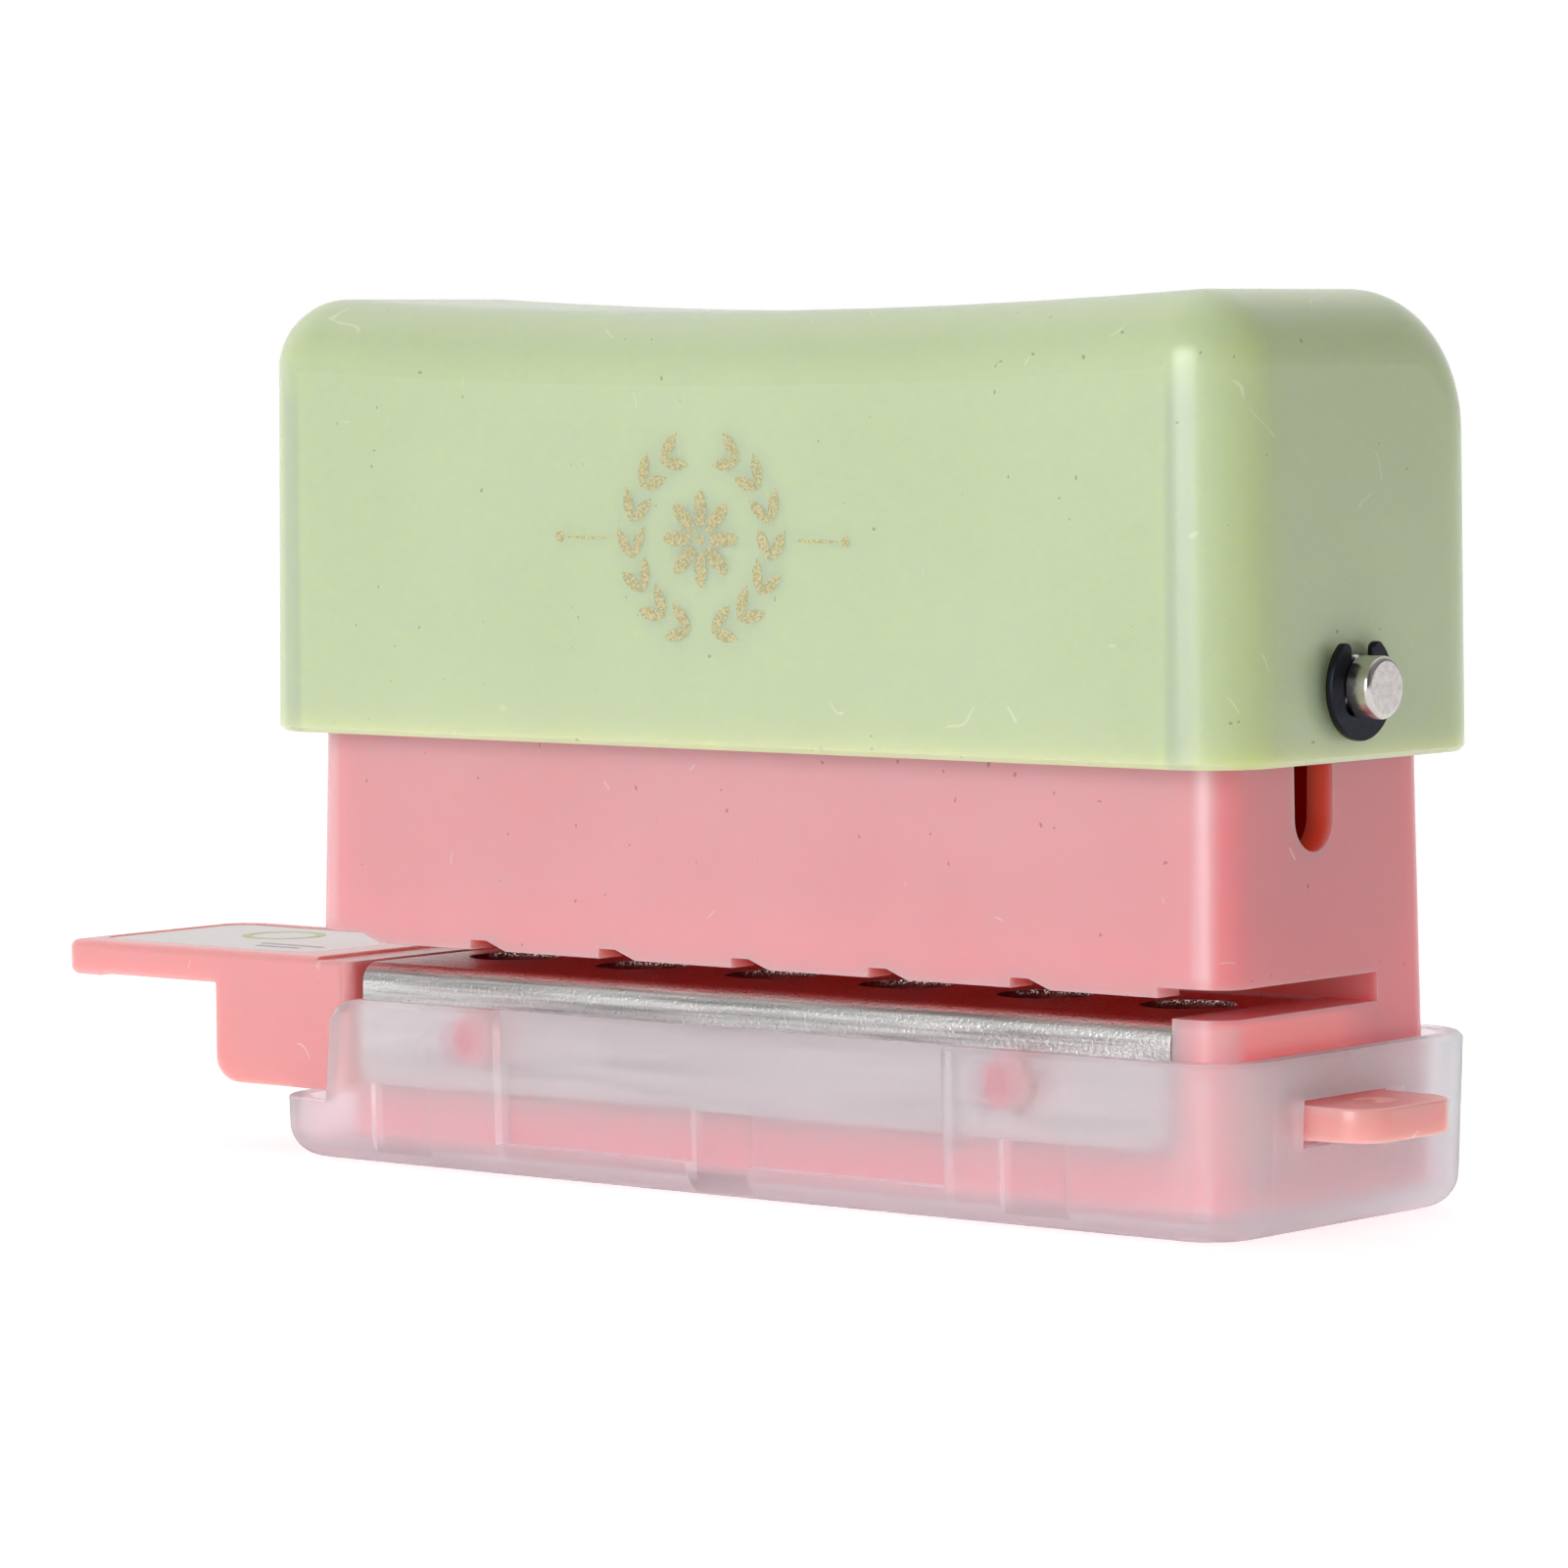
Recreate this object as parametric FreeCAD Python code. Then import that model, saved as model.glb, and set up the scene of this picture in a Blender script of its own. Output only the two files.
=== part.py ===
import FreeCAD, Part
import math
import os
from FreeCAD import Vector

# Loose-leaf hole punch for the palm. A green cover is pressed down over a pink body.
# The cover carries a steel cross shaft, the shaft carries a row of punches, and a
# coil spring round each punch lifts them again. Paper goes into the slot at the front,
# over a folded steel die plate, and the chips fall into a frosted tray under the body.
# Millimetres. X runs along the row of holes, Y from front to back, Z up.
# The origin is on the surface the punch stands on, under the middle of the body.

# Row of holes
HOLE_COUNT = 6
HOLE_PITCH = 9.5
ROW_Y = -1.33
PUNCH_DIAMETER = 5.1
PUNCH_IN_DIE = 0.05
PUNCH_IN_FLOOR = 0.07

# Body moulding: distance from the end holes to its ends, and its depth and draft, all at
# the top of the paper slot
HOLE_TO_BODY_END = 8.25
BODY_DEPTH = 19.06
BODY_CORNER = 2.0
BODY_DRAFT = 1.0
BODY_WALL = 1.6
BODY_TO_CEILING = 3.4
END_WALL = 1.9
HOUSING_CORNER = 1.0
HOUSING_DRAFT = 0.5
FLOOR_THICKNESS = 2.1

# Paper slot between the upper and the lower jaw
SLOT_TOP = 12.9
SLOT_HEIGHT = 1.55
SLOT_BACK_Y = 4.2
HOLE_TO_JAW_END = 4.55

# Hold-down lips along the front of the slot, one in front of each hole
LIP_DROP = 0.55
LIP_THICKNESS = 2.0
LIP_FLAT = 6.85
LIP_RAMP = 1.5
LIP_PAST_HOLE = 3.96

# Folded die plate, and the deck and bosses of the jaw that carry it
HOLE_TO_DIE_END = 4.85
DIE_INSET = 0.3
DIE_THICKNESS = 1.0
DIE_SINK = 0.2
DIE_INNER_BEND = 0.1
DIE_FLANGE_BOTTOM = 4.4
DIE_FLANGE_CORNER = 1.0
DIE_FIT = 0.1
DECK_THICKNESS = 1.6
CHIP_SLOT_PAST_HOLE = 2.8
BOSS_DIAMETER = 2.9
BOSS_X = 18.7
BOSS_Z = 7.45
BOSS_HOLE_GAP = 0.5
BOSS_TO_TRAY = 0.35

# Strap lug for a cord on the right end
LUG_FRONT = -5.1
LUG_BACK = 3.4
LUG_REACH = 6.0
LUG_BOTTOM = 5.0
LUG_THICKNESS = 1.8
LUG_CORNER = 2.1
LUG_HOLE_DIAMETER = 2.2
LUG_HOLE_EDGE = 1.6

# Cross shaft, its clips, and its upright slot in the end walls of the body
SHAFT_Z = 28.2
SHAFT_DIAMETER = 3.3
SHAFT_CHAMFER = 0.2
SHAFT_TIP = 1.4
SHAFT_FIT = 0.05
SHAFT_SLOT_FIT = 0.1
STROKE = 6.6
STROKE_SPARE = 0.3
GROOVE_DIAMETER = 2.3
GROOVE_PLAY = 0.05
CLIP_DIAMETER = 5.6
CLIP_THICKNESS = 0.45
CLIP_GAP = 0.4
CLIP_MOUTH = 2.0
CLIP_TIP_ROUND = 0.45
CLIP_RELIEF = 0.7

# Punches and their return springs
PUNCH_ABOVE_SLOT = 0.5
PUNCH_ABOVE_SHAFT = 3.4
PUNCH_NOTCH = 1.2
SPRING_DIAMETER = 6.8
SPRING_WIRE = 0.5
SPRING_TURNS = 3.5
SPRING_STEPS = 8
SPRING_SIDES = 4
SPRING_SEAT_GAP = 0.05

# Press cover: gaps to the body, and draft of the two ends
COVER_GAP_X = 0.55
COVER_GAP_Y = 0.91
COVER_WALL = 1.6
COVER_DRAFT = 0.7
COVER_BOTTOM = 24.3
COVER_TOP = 47.8
COVER_EDGE = 4.0
COVER_BACK_EDGE = 7.5
COVER_RIM = 0.3
SADDLE_RADIUS = 500.0
PRESS_RIB = 1.6
PRESS_RIB_TO_WALL = 0.6
GUIDE_RIB_WIDTH = 1.4
GUIDE_RIB_GAP = 0.2
GUIDE_RIB_LIFT = 0.6

# Chip tray: gaps to the body at the bottom, and outward draft of its walls
TRAY_GAP_X = 0.65
TRAY_GAP_Y = 1.08
TRAY_GAP_Z = 0.3
TRAY_WALL = 1.2
TRAY_FLOOR = 1.2
TRAY_CORNER = 4.0
TRAY_DRAFT = 1.8
TRAY_RIM = 9.33
TRAY_FOOT = 1.9
TRAY_RIM_CHAMFER = 0.25
TRAY_LOW_RIM = 3.4
TRAY_STEP_LEAN = 0.5
TRAY_STEP_CORNER = 1.9
TRAY_LUG_GAP = 0.3
TRAY_LUG_GAP_BELOW = 0.4
PANEL_X = -0.15
PANEL_LENGTH = 31.5
PANEL_DEPTH = 0.6
PANEL_BACKING = 0.5
POCKET_X = (-23.1, 0.0, 21.45)
POCKET_WIDTH = 4.2
POCKET_TOP = 4.7
POCKET_DEPTH = 0.35
THUMB_WIDTH = 9.8
THUMB_HEIGHT = 1.7
THUMB_DEPTH = 0.5

# Paper guide that slides out at the left end
GUIDE_LENGTH = 22.85
GUIDE_FROM_JAW = 0.9
GUIDE_DROP = 0.05
GUIDE_PLATE = 1.92
GUIDE_PLATE_DEPTH = 15.03
GUIDE_PULL_DROP = 0.16
GUIDE_PULL_WIDTH = 2.5
GUIDE_STOP_STEP = 0.18
GUIDE_STOP_SET_BACK = 2.55
GUIDE_BLOCK_LENGTH = 10.65
GUIDE_BLOCK_CORNER = 1.9
GUIDE_BLOCK_WALL = 1.5
GUIDE_GAP = 0.3
GUIDE_END_ROUND = 0.8
GUIDE_FRONT_CORNER = 1.0
GUIDE_BACK_CORNER = 3.0
GUIDE_TRAVEL = 6.8
TONGUE_REACH = 24.0
TONGUE_WIDTH = 1.6
TONGUE_HEIGHT = 2.2
TONGUE_BARB = 0.7
TONGUE_BARB_LENGTH = 1.2
RAIL_THICKNESS = 1.0
RAIL_LENGTH = 30.0
RAIL_LIP = 0.3

# Sticker on the paper guide
LABEL_LENGTH = 16.85
LABEL_DEPTH = 11.9
LABEL_FROM_LEFT = 1.0
LABEL_FROM_FRONT = 1.93
LABEL_CORNER = 1.6
LABEL_RECESS = 0.2
LABEL_THICKNESS = 0.1
LABEL_MARGIN = 0.1

# Places and sizes that follow from the ones above
HOLE_X = [(i - (HOLE_COUNT - 1) / 2) * HOLE_PITCH for i in range(HOLE_COUNT)]
BODY_LENGTH = HOLE_X[-1] - HOLE_X[0] + 2 * HOLE_TO_BODY_END
PUNCH_R = PUNCH_DIAMETER / 2
PUNCH_TIP = SLOT_TOP + PUNCH_ABOVE_SLOT
SHAFT_R = SHAFT_DIAMETER / 2
SLOT_BOTTOM = SLOT_TOP - SLOT_HEIGHT
FRONT_Y = -BODY_DEPTH / 2
JAW_LEFT = HOLE_X[0] - HOLE_TO_JAW_END
DIE_LEFT = JAW_LEFT + DIE_INSET
DIE_RIGHT = HOLE_X[-1] + HOLE_TO_DIE_END
DIE_TOP = SLOT_BOTTOM - DIE_SINK
DIE_UNDER = DIE_TOP - DIE_THICKNESS
DECK_UNDER = DIE_UNDER - DECK_THICKNESS
BODY_BOTTOM = TRAY_FLOOR + TRAY_GAP_Z
COVER_CEILING = COVER_TOP - COVER_WALL
BODY_TOP = COVER_CEILING - STROKE - BODY_TO_CEILING
FLOOR_TOP = SLOT_TOP + FLOOR_THICKNESS
GUIDE_BORE_R = PUNCH_R + PUNCH_IN_FLOOR
COVER_LENGTH = BODY_LENGTH + 2 * (COVER_GAP_X + COVER_WALL)
COVER_DEPTH = BODY_DEPTH + 2 * (COVER_GAP_Y + COVER_WALL)
TRAY_LENGTH = BODY_LENGTH + 2 * (TRAY_GAP_X + TRAY_WALL)
TRAY_DEPTH = BODY_DEPTH + 2 * (TRAY_GAP_Y + TRAY_WALL)
CHAMBER_LEFT = JAW_LEFT + BODY_WALL
CHAMBER_RIGHT = BODY_LENGTH / 2 - END_WALL
CHAMBER_FRONT = FRONT_Y + DIE_THICKNESS + DIE_FIT + BODY_WALL
CHAMBER_BACK = BODY_DEPTH / 2 - BODY_WALL
TONGUE_TOP = DECK_UNDER - GUIDE_GAP
TONGUE_UNDER = TONGUE_TOP - TONGUE_HEIGHT
TONGUE_BACK = SLOT_BACK_Y - GUIDE_GAP
TONGUE_FRONT = TONGUE_BACK - TONGUE_WIDTH
GUIDE_TOP = SLOT_BOTTOM - GUIDE_DROP
GUIDE_RIGHT = JAW_LEFT - GUIDE_FROM_JAW
GUIDE_LEFT = GUIDE_RIGHT - GUIDE_LENGTH
LABEL_LEFT = GUIDE_LEFT + LABEL_FROM_LEFT
LABEL_FRONT = FRONT_Y + LABEL_FROM_FRONT
LUG_ROOT = CHAMBER_RIGHT
LUG_END = BODY_LENGTH / 2 + LUG_REACH
LUG_TOP = LUG_BOTTOM + LUG_THICKNESS
FAR = 200.0


def half_at(length, z, z_of_length, draft):
    """Half of a drafted length at height z; a positive draft widens it downwards."""
    return length / 2 + (z_of_length - z) * math.tan(math.radians(draft))


def tray_face(z):
    """Y of the outer face of the tray's front wall at height z."""
    return -half_at(TRAY_DEPTH, z, 0.0, -TRAY_DRAFT)


def clip_face():
    """X of the inner face of the right shaft clip."""
    return half_at(COVER_LENGTH, SHAFT_Z, COVER_BOTTOM, COVER_DRAFT) + CLIP_GAP


def flat_face(points):
    return Part.Face(Part.makePolygon(points + [points[0]]))


def box(x0, x1, y0, y1, z0, z1):
    return Part.makeBox(x1 - x0, y1 - y0, z1 - z0, Vector(x0, y0, z0))


def round_bar(radius, start, end):
    return Part.makeCylinder(radius, (end - start).Length, start, end - start)


def upright_bar(radius, x, y, z0, z1):
    return round_bar(radius, Vector(x, y, z0), Vector(x, y, z1))


def edges_where(shape, test):
    return [e for e in shape.Edges if test(e.BoundBox)]


def rounded_plate(x0, x1, y0, y1, z0, z1, corners):
    """Plate with upright corners rounded: left front, right front, right back, left back."""
    plate = box(x0, x1, y0, y1, z0, z1)
    places = ((x0, y0), (x1, y0), (x1, y1), (x0, y1))
    for (x, y), radius in zip(places, corners):
        if radius > 0:
            place = Vector(x, y, (z0 + z1) / 2)
            corner = [e for e in plate.Edges if e.CenterOfMass.distanceToPoint(place) < 0.001]
            plate = plate.makeFillet(radius, corner)
    return plate


def drafted_block(length, depth, corner, z_of_size, z0, z1, draft):
    """Rounded block centred on the origin, with walls that lean out towards the bottom."""
    low_x, high_x = (half_at(length, z, z_of_size, draft) for z in (z0, z1))
    low_y, high_y = (half_at(depth, z, z_of_size, draft) for z in (z0, z1))
    front_view = flat_face([
        Vector(-low_x, -FAR, z0), Vector(low_x, -FAR, z0),
        Vector(high_x, -FAR, z1), Vector(-high_x, -FAR, z1),
    ]).extrude(Vector(0, 2 * FAR, 0))
    side_view = flat_face([
        Vector(-FAR, -low_y, z0), Vector(-FAR, low_y, z0),
        Vector(-FAR, high_y, z1), Vector(-FAR, -high_y, z1),
    ]).extrude(Vector(2 * FAR, 0, 0))
    block = front_view.common(side_view)
    upright = edges_where(block, lambda b: b.ZLength > (z1 - z0) / 2)
    return block.makeFillet(corner, upright)


def cover_outside():
    """Drafted block under a saddle-shaped top, with soft edges and a softer back edge."""
    half_y = COVER_DEPTH / 2
    crest = COVER_TOP + COVER_EDGE
    bottom_x = COVER_LENGTH / 2
    crest_x = half_at(COVER_LENGTH, crest, COVER_BOTTOM, COVER_DRAFT)
    side = flat_face([
        Vector(-bottom_x, -half_y, COVER_BOTTOM),
        Vector(bottom_x, -half_y, COVER_BOTTOM),
        Vector(crest_x, -half_y, crest),
        Vector(-crest_x, -half_y, crest),
    ])
    block = side.extrude(Vector(0, COVER_DEPTH, 0))
    axis_z = COVER_TOP + SADDLE_RADIUS
    block = block.cut(round_bar(SADDLE_RADIUS, Vector(0, -FAR, axis_z), Vector(0, FAR, axis_z)))
    shoulder = COVER_TOP - COVER_EDGE
    back_top = edges_where(block, lambda b: b.ZMin > shoulder and b.YMin > half_y - 0.1)
    block = block.makeFillet(COVER_BACK_EDGE, back_top)

    def on_end_or_front_top(b):
        on_end = min(abs(b.XMin), abs(b.XMax)) > crest_x - 0.1 and b.ZMax > COVER_BOTTOM + 0.1
        on_front_top = b.ZMin > shoulder and b.YMax < 0.1 - half_y
        return on_end or on_front_top

    block = block.makeFillet(COVER_EDGE, edges_where(block, on_end_or_front_top))
    rim = edges_where(block, lambda b: b.ZMax < COVER_BOTTOM + 0.01)
    return block.makeChamfer(COVER_RIM, rim)


def cover_core():
    """Hollow of the cover; bevels under the rounded top edges keep the wall even."""
    half_y = COVER_DEPTH / 2 - COVER_WALL
    length = COVER_LENGTH - 2 * COVER_WALL
    bevel = 2 - math.sqrt(2)
    edge = (COVER_EDGE - COVER_WALL) * bevel
    back = (COVER_BACK_EDGE - COVER_WALL) * bevel
    low = COVER_BOTTOM - 1.0
    side_view = flat_face([
        Vector(-FAR, -half_y, low),
        Vector(-FAR, half_y, low),
        Vector(-FAR, half_y, COVER_CEILING - back),
        Vector(-FAR, half_y - back, COVER_CEILING),
        Vector(-FAR, edge - half_y, COVER_CEILING),
        Vector(-FAR, -half_y, COVER_CEILING - edge),
    ]).extrude(Vector(2 * FAR, 0, 0))
    low_x = half_at(length, low, COVER_BOTTOM, COVER_DRAFT)
    high_x = half_at(length, COVER_CEILING - edge, COVER_BOTTOM, COVER_DRAFT)
    front_view = flat_face([
        Vector(-low_x, -FAR, low),
        Vector(low_x, -FAR, low),
        Vector(high_x, -FAR, COVER_CEILING - edge),
        Vector(high_x - edge, -FAR, COVER_CEILING),
        Vector(edge - high_x, -FAR, COVER_CEILING),
        Vector(-high_x, -FAR, COVER_CEILING - edge),
    ]).extrude(Vector(0, 2 * FAR, 0))
    core = side_view.common(front_view)
    upright = edges_where(core, lambda b: b.ZLength > COVER_EDGE and b.YLength < 0.01)
    return core.makeFillet(COVER_EDGE - COVER_WALL, upright)


def press_cover():
    """Shell with ribs that sit astride the shaft and ribs that run along the body."""
    cover = cover_outside().cut(cover_core())
    in_ceiling = COVER_TOP - COVER_WALL / 2
    rib_y = half_at(BODY_DEPTH, BODY_TOP, SLOT_TOP, BODY_DRAFT) - BODY_WALL - PRESS_RIB_TO_WALL
    for left, right in zip(HOLE_X, HOLE_X[1:]):
        x = (left + right) / 2
        cover = cover.fuse(box(x - PRESS_RIB / 2, x + PRESS_RIB / 2, -rib_y, rib_y,
                               SHAFT_Z, in_ceiling))
    rib_face = BODY_DEPTH / 2 + GUIDE_RIB_GAP
    in_wall = COVER_DEPTH / 2 - COVER_WALL / 2
    for x in HOLE_X[::2]:
        x0 = x + HOLE_PITCH / 2 - GUIDE_RIB_WIDTH / 2
        for y0, y1 in ((-in_wall, -rib_face), (rib_face, in_wall)):
            cover = cover.fuse(box(x0, x0 + GUIDE_RIB_WIDTH, y0, y1,
                                   COVER_BOTTOM + GUIDE_RIB_LIFT, BODY_TOP))
    seat = round_bar(SHAFT_R + SHAFT_FIT, Vector(-FAR, ROW_Y, SHAFT_Z), Vector(FAR, ROW_Y, SHAFT_Z))
    return cover.cut(seat).removeSplitter()


def lip(x_hole):
    """One hold-down lip: a ramp on the left, a flat over the hole and an upright end."""
    right = x_hole + LIP_PAST_HOLE
    flat = right - LIP_FLAT
    low = SLOT_TOP - LIP_DROP
    profile = flat_face([
        Vector(right, FRONT_Y, SLOT_TOP),
        Vector(right, FRONT_Y, low),
        Vector(flat, FRONT_Y, low),
        Vector(flat - LIP_RAMP, FRONT_Y, SLOT_TOP),
    ])
    return profile.extrude(Vector(0, LIP_THICKNESS, 0))


def shaft_slot():
    """Upright slot with round ends, through both end walls."""
    radius = SHAFT_R + SHAFT_SLOT_FIT
    top = SHAFT_Z + STROKE_SPARE
    bottom = SHAFT_Z - STROKE - STROKE_SPARE
    slot = box(-FAR, FAR, ROW_Y - radius, ROW_Y + radius, bottom, top)
    for z in (bottom, top):
        slot = slot.fuse(round_bar(radius, Vector(-FAR, ROW_Y, z), Vector(FAR, ROW_Y, z)))
    return slot


def die_seat():
    """Room for the folded plate on the lower jaw and down its front, open at the left end."""
    right = DIE_RIGHT + DIE_FIT
    on_deck = box(-FAR, right, -FAR, SLOT_BACK_Y, DIE_UNDER, SLOT_TOP)
    on_front = box(-FAR, right, -FAR, FRONT_Y + DIE_THICKNESS + DIE_FIT,
                   DIE_FLANGE_BOTTOM - DIE_FIT, SLOT_TOP)
    return on_deck.fuse(on_front)


def strap_lug():
    """Flat lug with an upright hole, rooted in the right end wall."""
    lug = rounded_plate(LUG_ROOT, LUG_END, LUG_FRONT, LUG_BACK, LUG_BOTTOM, LUG_TOP,
                        (0, LUG_CORNER, LUG_CORNER, 0))
    radius = LUG_HOLE_DIAMETER / 2
    hole_x = LUG_END - LUG_HOLE_EDGE - radius
    return lug.cut(upright_bar(radius, hole_x, (LUG_FRONT + LUG_BACK) / 2, 0, FAR))


def tongue_rail():
    """Ledge under the paper guide's tongue, with a low lip along its front."""
    top = TONGUE_UNDER - GUIDE_GAP
    front = TONGUE_FRONT - GUIDE_GAP
    under = top - RAIL_THICKNESS
    right = CHAMBER_LEFT + RAIL_LENGTH
    ledge = box(JAW_LEFT + BODY_WALL / 2, right, front, BODY_DEPTH / 2 - BODY_WALL / 2, under, top)
    edge = box(JAW_LEFT + BODY_WALL / 2, right, front - RAIL_LIP, front, under, TONGUE_UNDER)
    return ledge.fuse(edge)


def body_housing():
    """Upper and lower jaw in one moulding, joined behind the paper slot."""
    body = drafted_block(BODY_LENGTH, BODY_DEPTH, BODY_CORNER, SLOT_TOP,
                         BODY_BOTTOM, BODY_TOP, BODY_DRAFT)
    body = body.cut(box(-FAR, FAR, -FAR, SLOT_BACK_Y, SLOT_BOTTOM, SLOT_TOP))
    body = body.cut(box(-FAR, JAW_LEFT, -FAR, SLOT_BACK_Y, 0, SLOT_TOP))
    body = body.cut(drafted_block(BODY_LENGTH - 2 * END_WALL, BODY_DEPTH - 2 * BODY_WALL,
                                  HOUSING_CORNER, FLOOR_TOP, FLOOR_TOP, BODY_TOP + 1,
                                  -HOUSING_DRAFT))
    body = body.cut(box(CHAMBER_LEFT, CHAMBER_RIGHT, CHAMBER_FRONT, CHAMBER_BACK, 0, DECK_UNDER))
    body = body.cut(die_seat())
    for x in HOLE_X:
        body = body.fuse(lip(x))
        body = body.cut(upright_bar(GUIDE_BORE_R, x, ROW_Y, SLOT_BOTTOM, BODY_TOP))
    body = body.cut(shaft_slot())
    past = CHIP_SLOT_PAST_HOLE
    body = body.cut(box(HOLE_X[0] - past, HOLE_X[-1] + past, ROW_Y - past, ROW_Y + past,
                        0, DIE_TOP))
    boss_tip = tray_face(BOSS_Z) + TRAY_WALL + BOSS_TO_TRAY
    for x in (-BOSS_X, BOSS_X):
        root = Vector(x, CHAMBER_FRONT - BODY_WALL / 2, BOSS_Z)
        body = body.fuse(round_bar(BOSS_DIAMETER / 2, root, Vector(x, boss_tip, BOSS_Z)))
    gate = box(JAW_LEFT - 1, CHAMBER_LEFT, TONGUE_FRONT - GUIDE_GAP, SLOT_BACK_Y,
               TONGUE_UNDER - GUIDE_GAP, DECK_UNDER)
    body = body.fuse(tongue_rail()).cut(gate)
    return body.fuse(strap_lug()).removeSplitter()


def die_plate():
    """Steel strip folded down along its front edge and pierced with the die holes."""
    back = SLOT_BACK_Y - DIE_FIT
    outer = DIE_INNER_BEND + DIE_THICKNESS
    centre_y = FRONT_Y + outer
    centre_z = DIE_TOP - outer
    half_turn = math.sqrt(0.5)

    def at(y, z):
        return Vector(DIE_LEFT, y, z)

    def bend(radius):
        middle = at(centre_y - radius * half_turn, centre_z + radius * half_turn)
        return at(centre_y - radius, centre_z), middle, at(centre_y, centre_z + radius)

    low_out, mid_out, top_out = bend(outer)
    low_in, mid_in, top_in = bend(DIE_INNER_BEND)
    outline = Part.Wire([
        Part.LineSegment(at(FRONT_Y, DIE_FLANGE_BOTTOM), low_out).toShape(),
        Part.Arc(low_out, mid_out, top_out).toShape(),
        Part.LineSegment(top_out, at(back, DIE_TOP)).toShape(),
        Part.LineSegment(at(back, DIE_TOP), at(back, DIE_UNDER)).toShape(),
        Part.LineSegment(at(back, DIE_UNDER), top_in).toShape(),
        Part.Arc(top_in, mid_in, low_in).toShape(),
        Part.LineSegment(low_in, at(FRONT_Y + DIE_THICKNESS, DIE_FLANGE_BOTTOM)).toShape(),
        Part.LineSegment(at(FRONT_Y + DIE_THICKNESS, DIE_FLANGE_BOTTOM),
                         at(FRONT_Y, DIE_FLANGE_BOTTOM)).toShape(),
    ])
    plate = Part.Face(outline).extrude(Vector(DIE_RIGHT - DIE_LEFT, 0, 0))
    corners = edges_where(plate, lambda b: b.ZMax < DIE_FLANGE_BOTTOM + 0.01 and b.XLength < 0.01)
    plate = plate.makeFillet(DIE_FLANGE_CORNER, corners)
    for x in HOLE_X:
        plate = plate.cut(upright_bar(PUNCH_R + PUNCH_IN_DIE, x, ROW_Y, 0, FAR))
    for x in (-BOSS_X, BOSS_X):
        radius = BOSS_DIAMETER / 2 + BOSS_HOLE_GAP
        plate = plate.cut(round_bar(radius, Vector(x, -FAR, BOSS_Z), Vector(x, 0, BOSS_Z)))
    return plate


def tray_step():
    """Everything above the low rim at the left end, where the paper guide slides out."""
    radius = TRAY_STEP_CORNER
    bulge = radius * (1 - math.sqrt(0.5))

    def at(x, z):
        return Vector(x, -FAR, z)

    shoulder = at(JAW_LEFT, TRAY_RIM - radius)
    crest = at(JAW_LEFT + radius, TRAY_RIM)
    corners = [crest, at(JAW_LEFT + radius, FAR), at(-FAR, FAR), at(-FAR, TRAY_LOW_RIM),
               at(JAW_LEFT - TRAY_STEP_LEAN, TRAY_LOW_RIM), shoulder]
    edges = [Part.LineSegment(a, b).toShape() for a, b in zip(corners, corners[1:])]
    edges.append(Part.Arc(shoulder, at(JAW_LEFT + bulge, TRAY_RIM - bulge), crest).toShape())
    return Part.Face(Part.Wire(edges)).extrude(Vector(0, 2 * FAR, 0))


def front_slab(x, length, z0, z1, outer, inner):
    """Slab in the leaning front wall of the tray, between two depths behind its face."""
    profile = flat_face([
        Vector(x - length / 2, tray_face(z0) + outer, z0),
        Vector(x - length / 2, tray_face(z0) + inner, z0),
        Vector(x - length / 2, tray_face(z1) + inner, z1),
        Vector(x - length / 2, tray_face(z1) + outer, z1),
    ])
    return profile.extrude(Vector(length, 0, 0))


def thumb_dish():
    """Ball that leaves a lens-shaped dish under the rim of the front wall."""
    half = THUMB_WIDTH / 2
    arc = (half ** 2 + THUMB_HEIGHT ** 2) / (2 * THUMB_HEIGHT)
    behind = (half ** 2 - THUMB_DEPTH ** 2) / (2 * THUMB_DEPTH)
    centre_y = tray_face(TRAY_RIM) + PANEL_DEPTH - behind
    return Part.makeSphere(math.hypot(behind, arc), Vector(0, centre_y, TRAY_RIM - THUMB_HEIGHT + arc))


def tray_outside():
    """Block that widens upwards on conical corners, with a rounded foot and a bevelled rim."""
    rise = TRAY_RIM * math.tan(math.radians(TRAY_DRAFT))
    half_x, half_y = TRAY_LENGTH / 2, TRAY_DEPTH / 2
    corner_x, corner_y = half_x - TRAY_CORNER, half_y - TRAY_CORNER
    long_part = flat_face([
        Vector(-half_x, -corner_y, 0), Vector(half_x, -corner_y, 0),
        Vector(half_x + rise, -corner_y, TRAY_RIM), Vector(-half_x - rise, -corner_y, TRAY_RIM),
    ]).extrude(Vector(0, 2 * corner_y, 0))
    deep_part = flat_face([
        Vector(-corner_x, -half_y, 0), Vector(-corner_x, half_y, 0),
        Vector(-corner_x, half_y + rise, TRAY_RIM), Vector(-corner_x, -half_y - rise, TRAY_RIM),
    ]).extrude(Vector(2 * corner_x, 0, 0))
    block = long_part.fuse(deep_part)
    for quarter, (sx, sy) in enumerate(((1, 1), (-1, 1), (-1, -1), (1, -1))):
        post = Part.makeCone(TRAY_CORNER, TRAY_CORNER + rise, TRAY_RIM, Vector(0, 0, 0),
                             Vector(0, 0, 1), 90)
        post.rotate(Vector(0, 0, 0), Vector(0, 0, 1), 90 * quarter)
        post.translate(Vector(sx * corner_x, sy * corner_y, 0))
        block = block.fuse(post)
    block = block.removeSplitter()
    block = block.makeFillet(TRAY_FOOT, edges_where(block, lambda b: b.ZMax < 0.01))
    rim = edges_where(block, lambda b: b.ZMin > TRAY_RIM - 0.01)
    return block.makeChamfer(TRAY_RIM_CHAMFER, rim)


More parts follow.
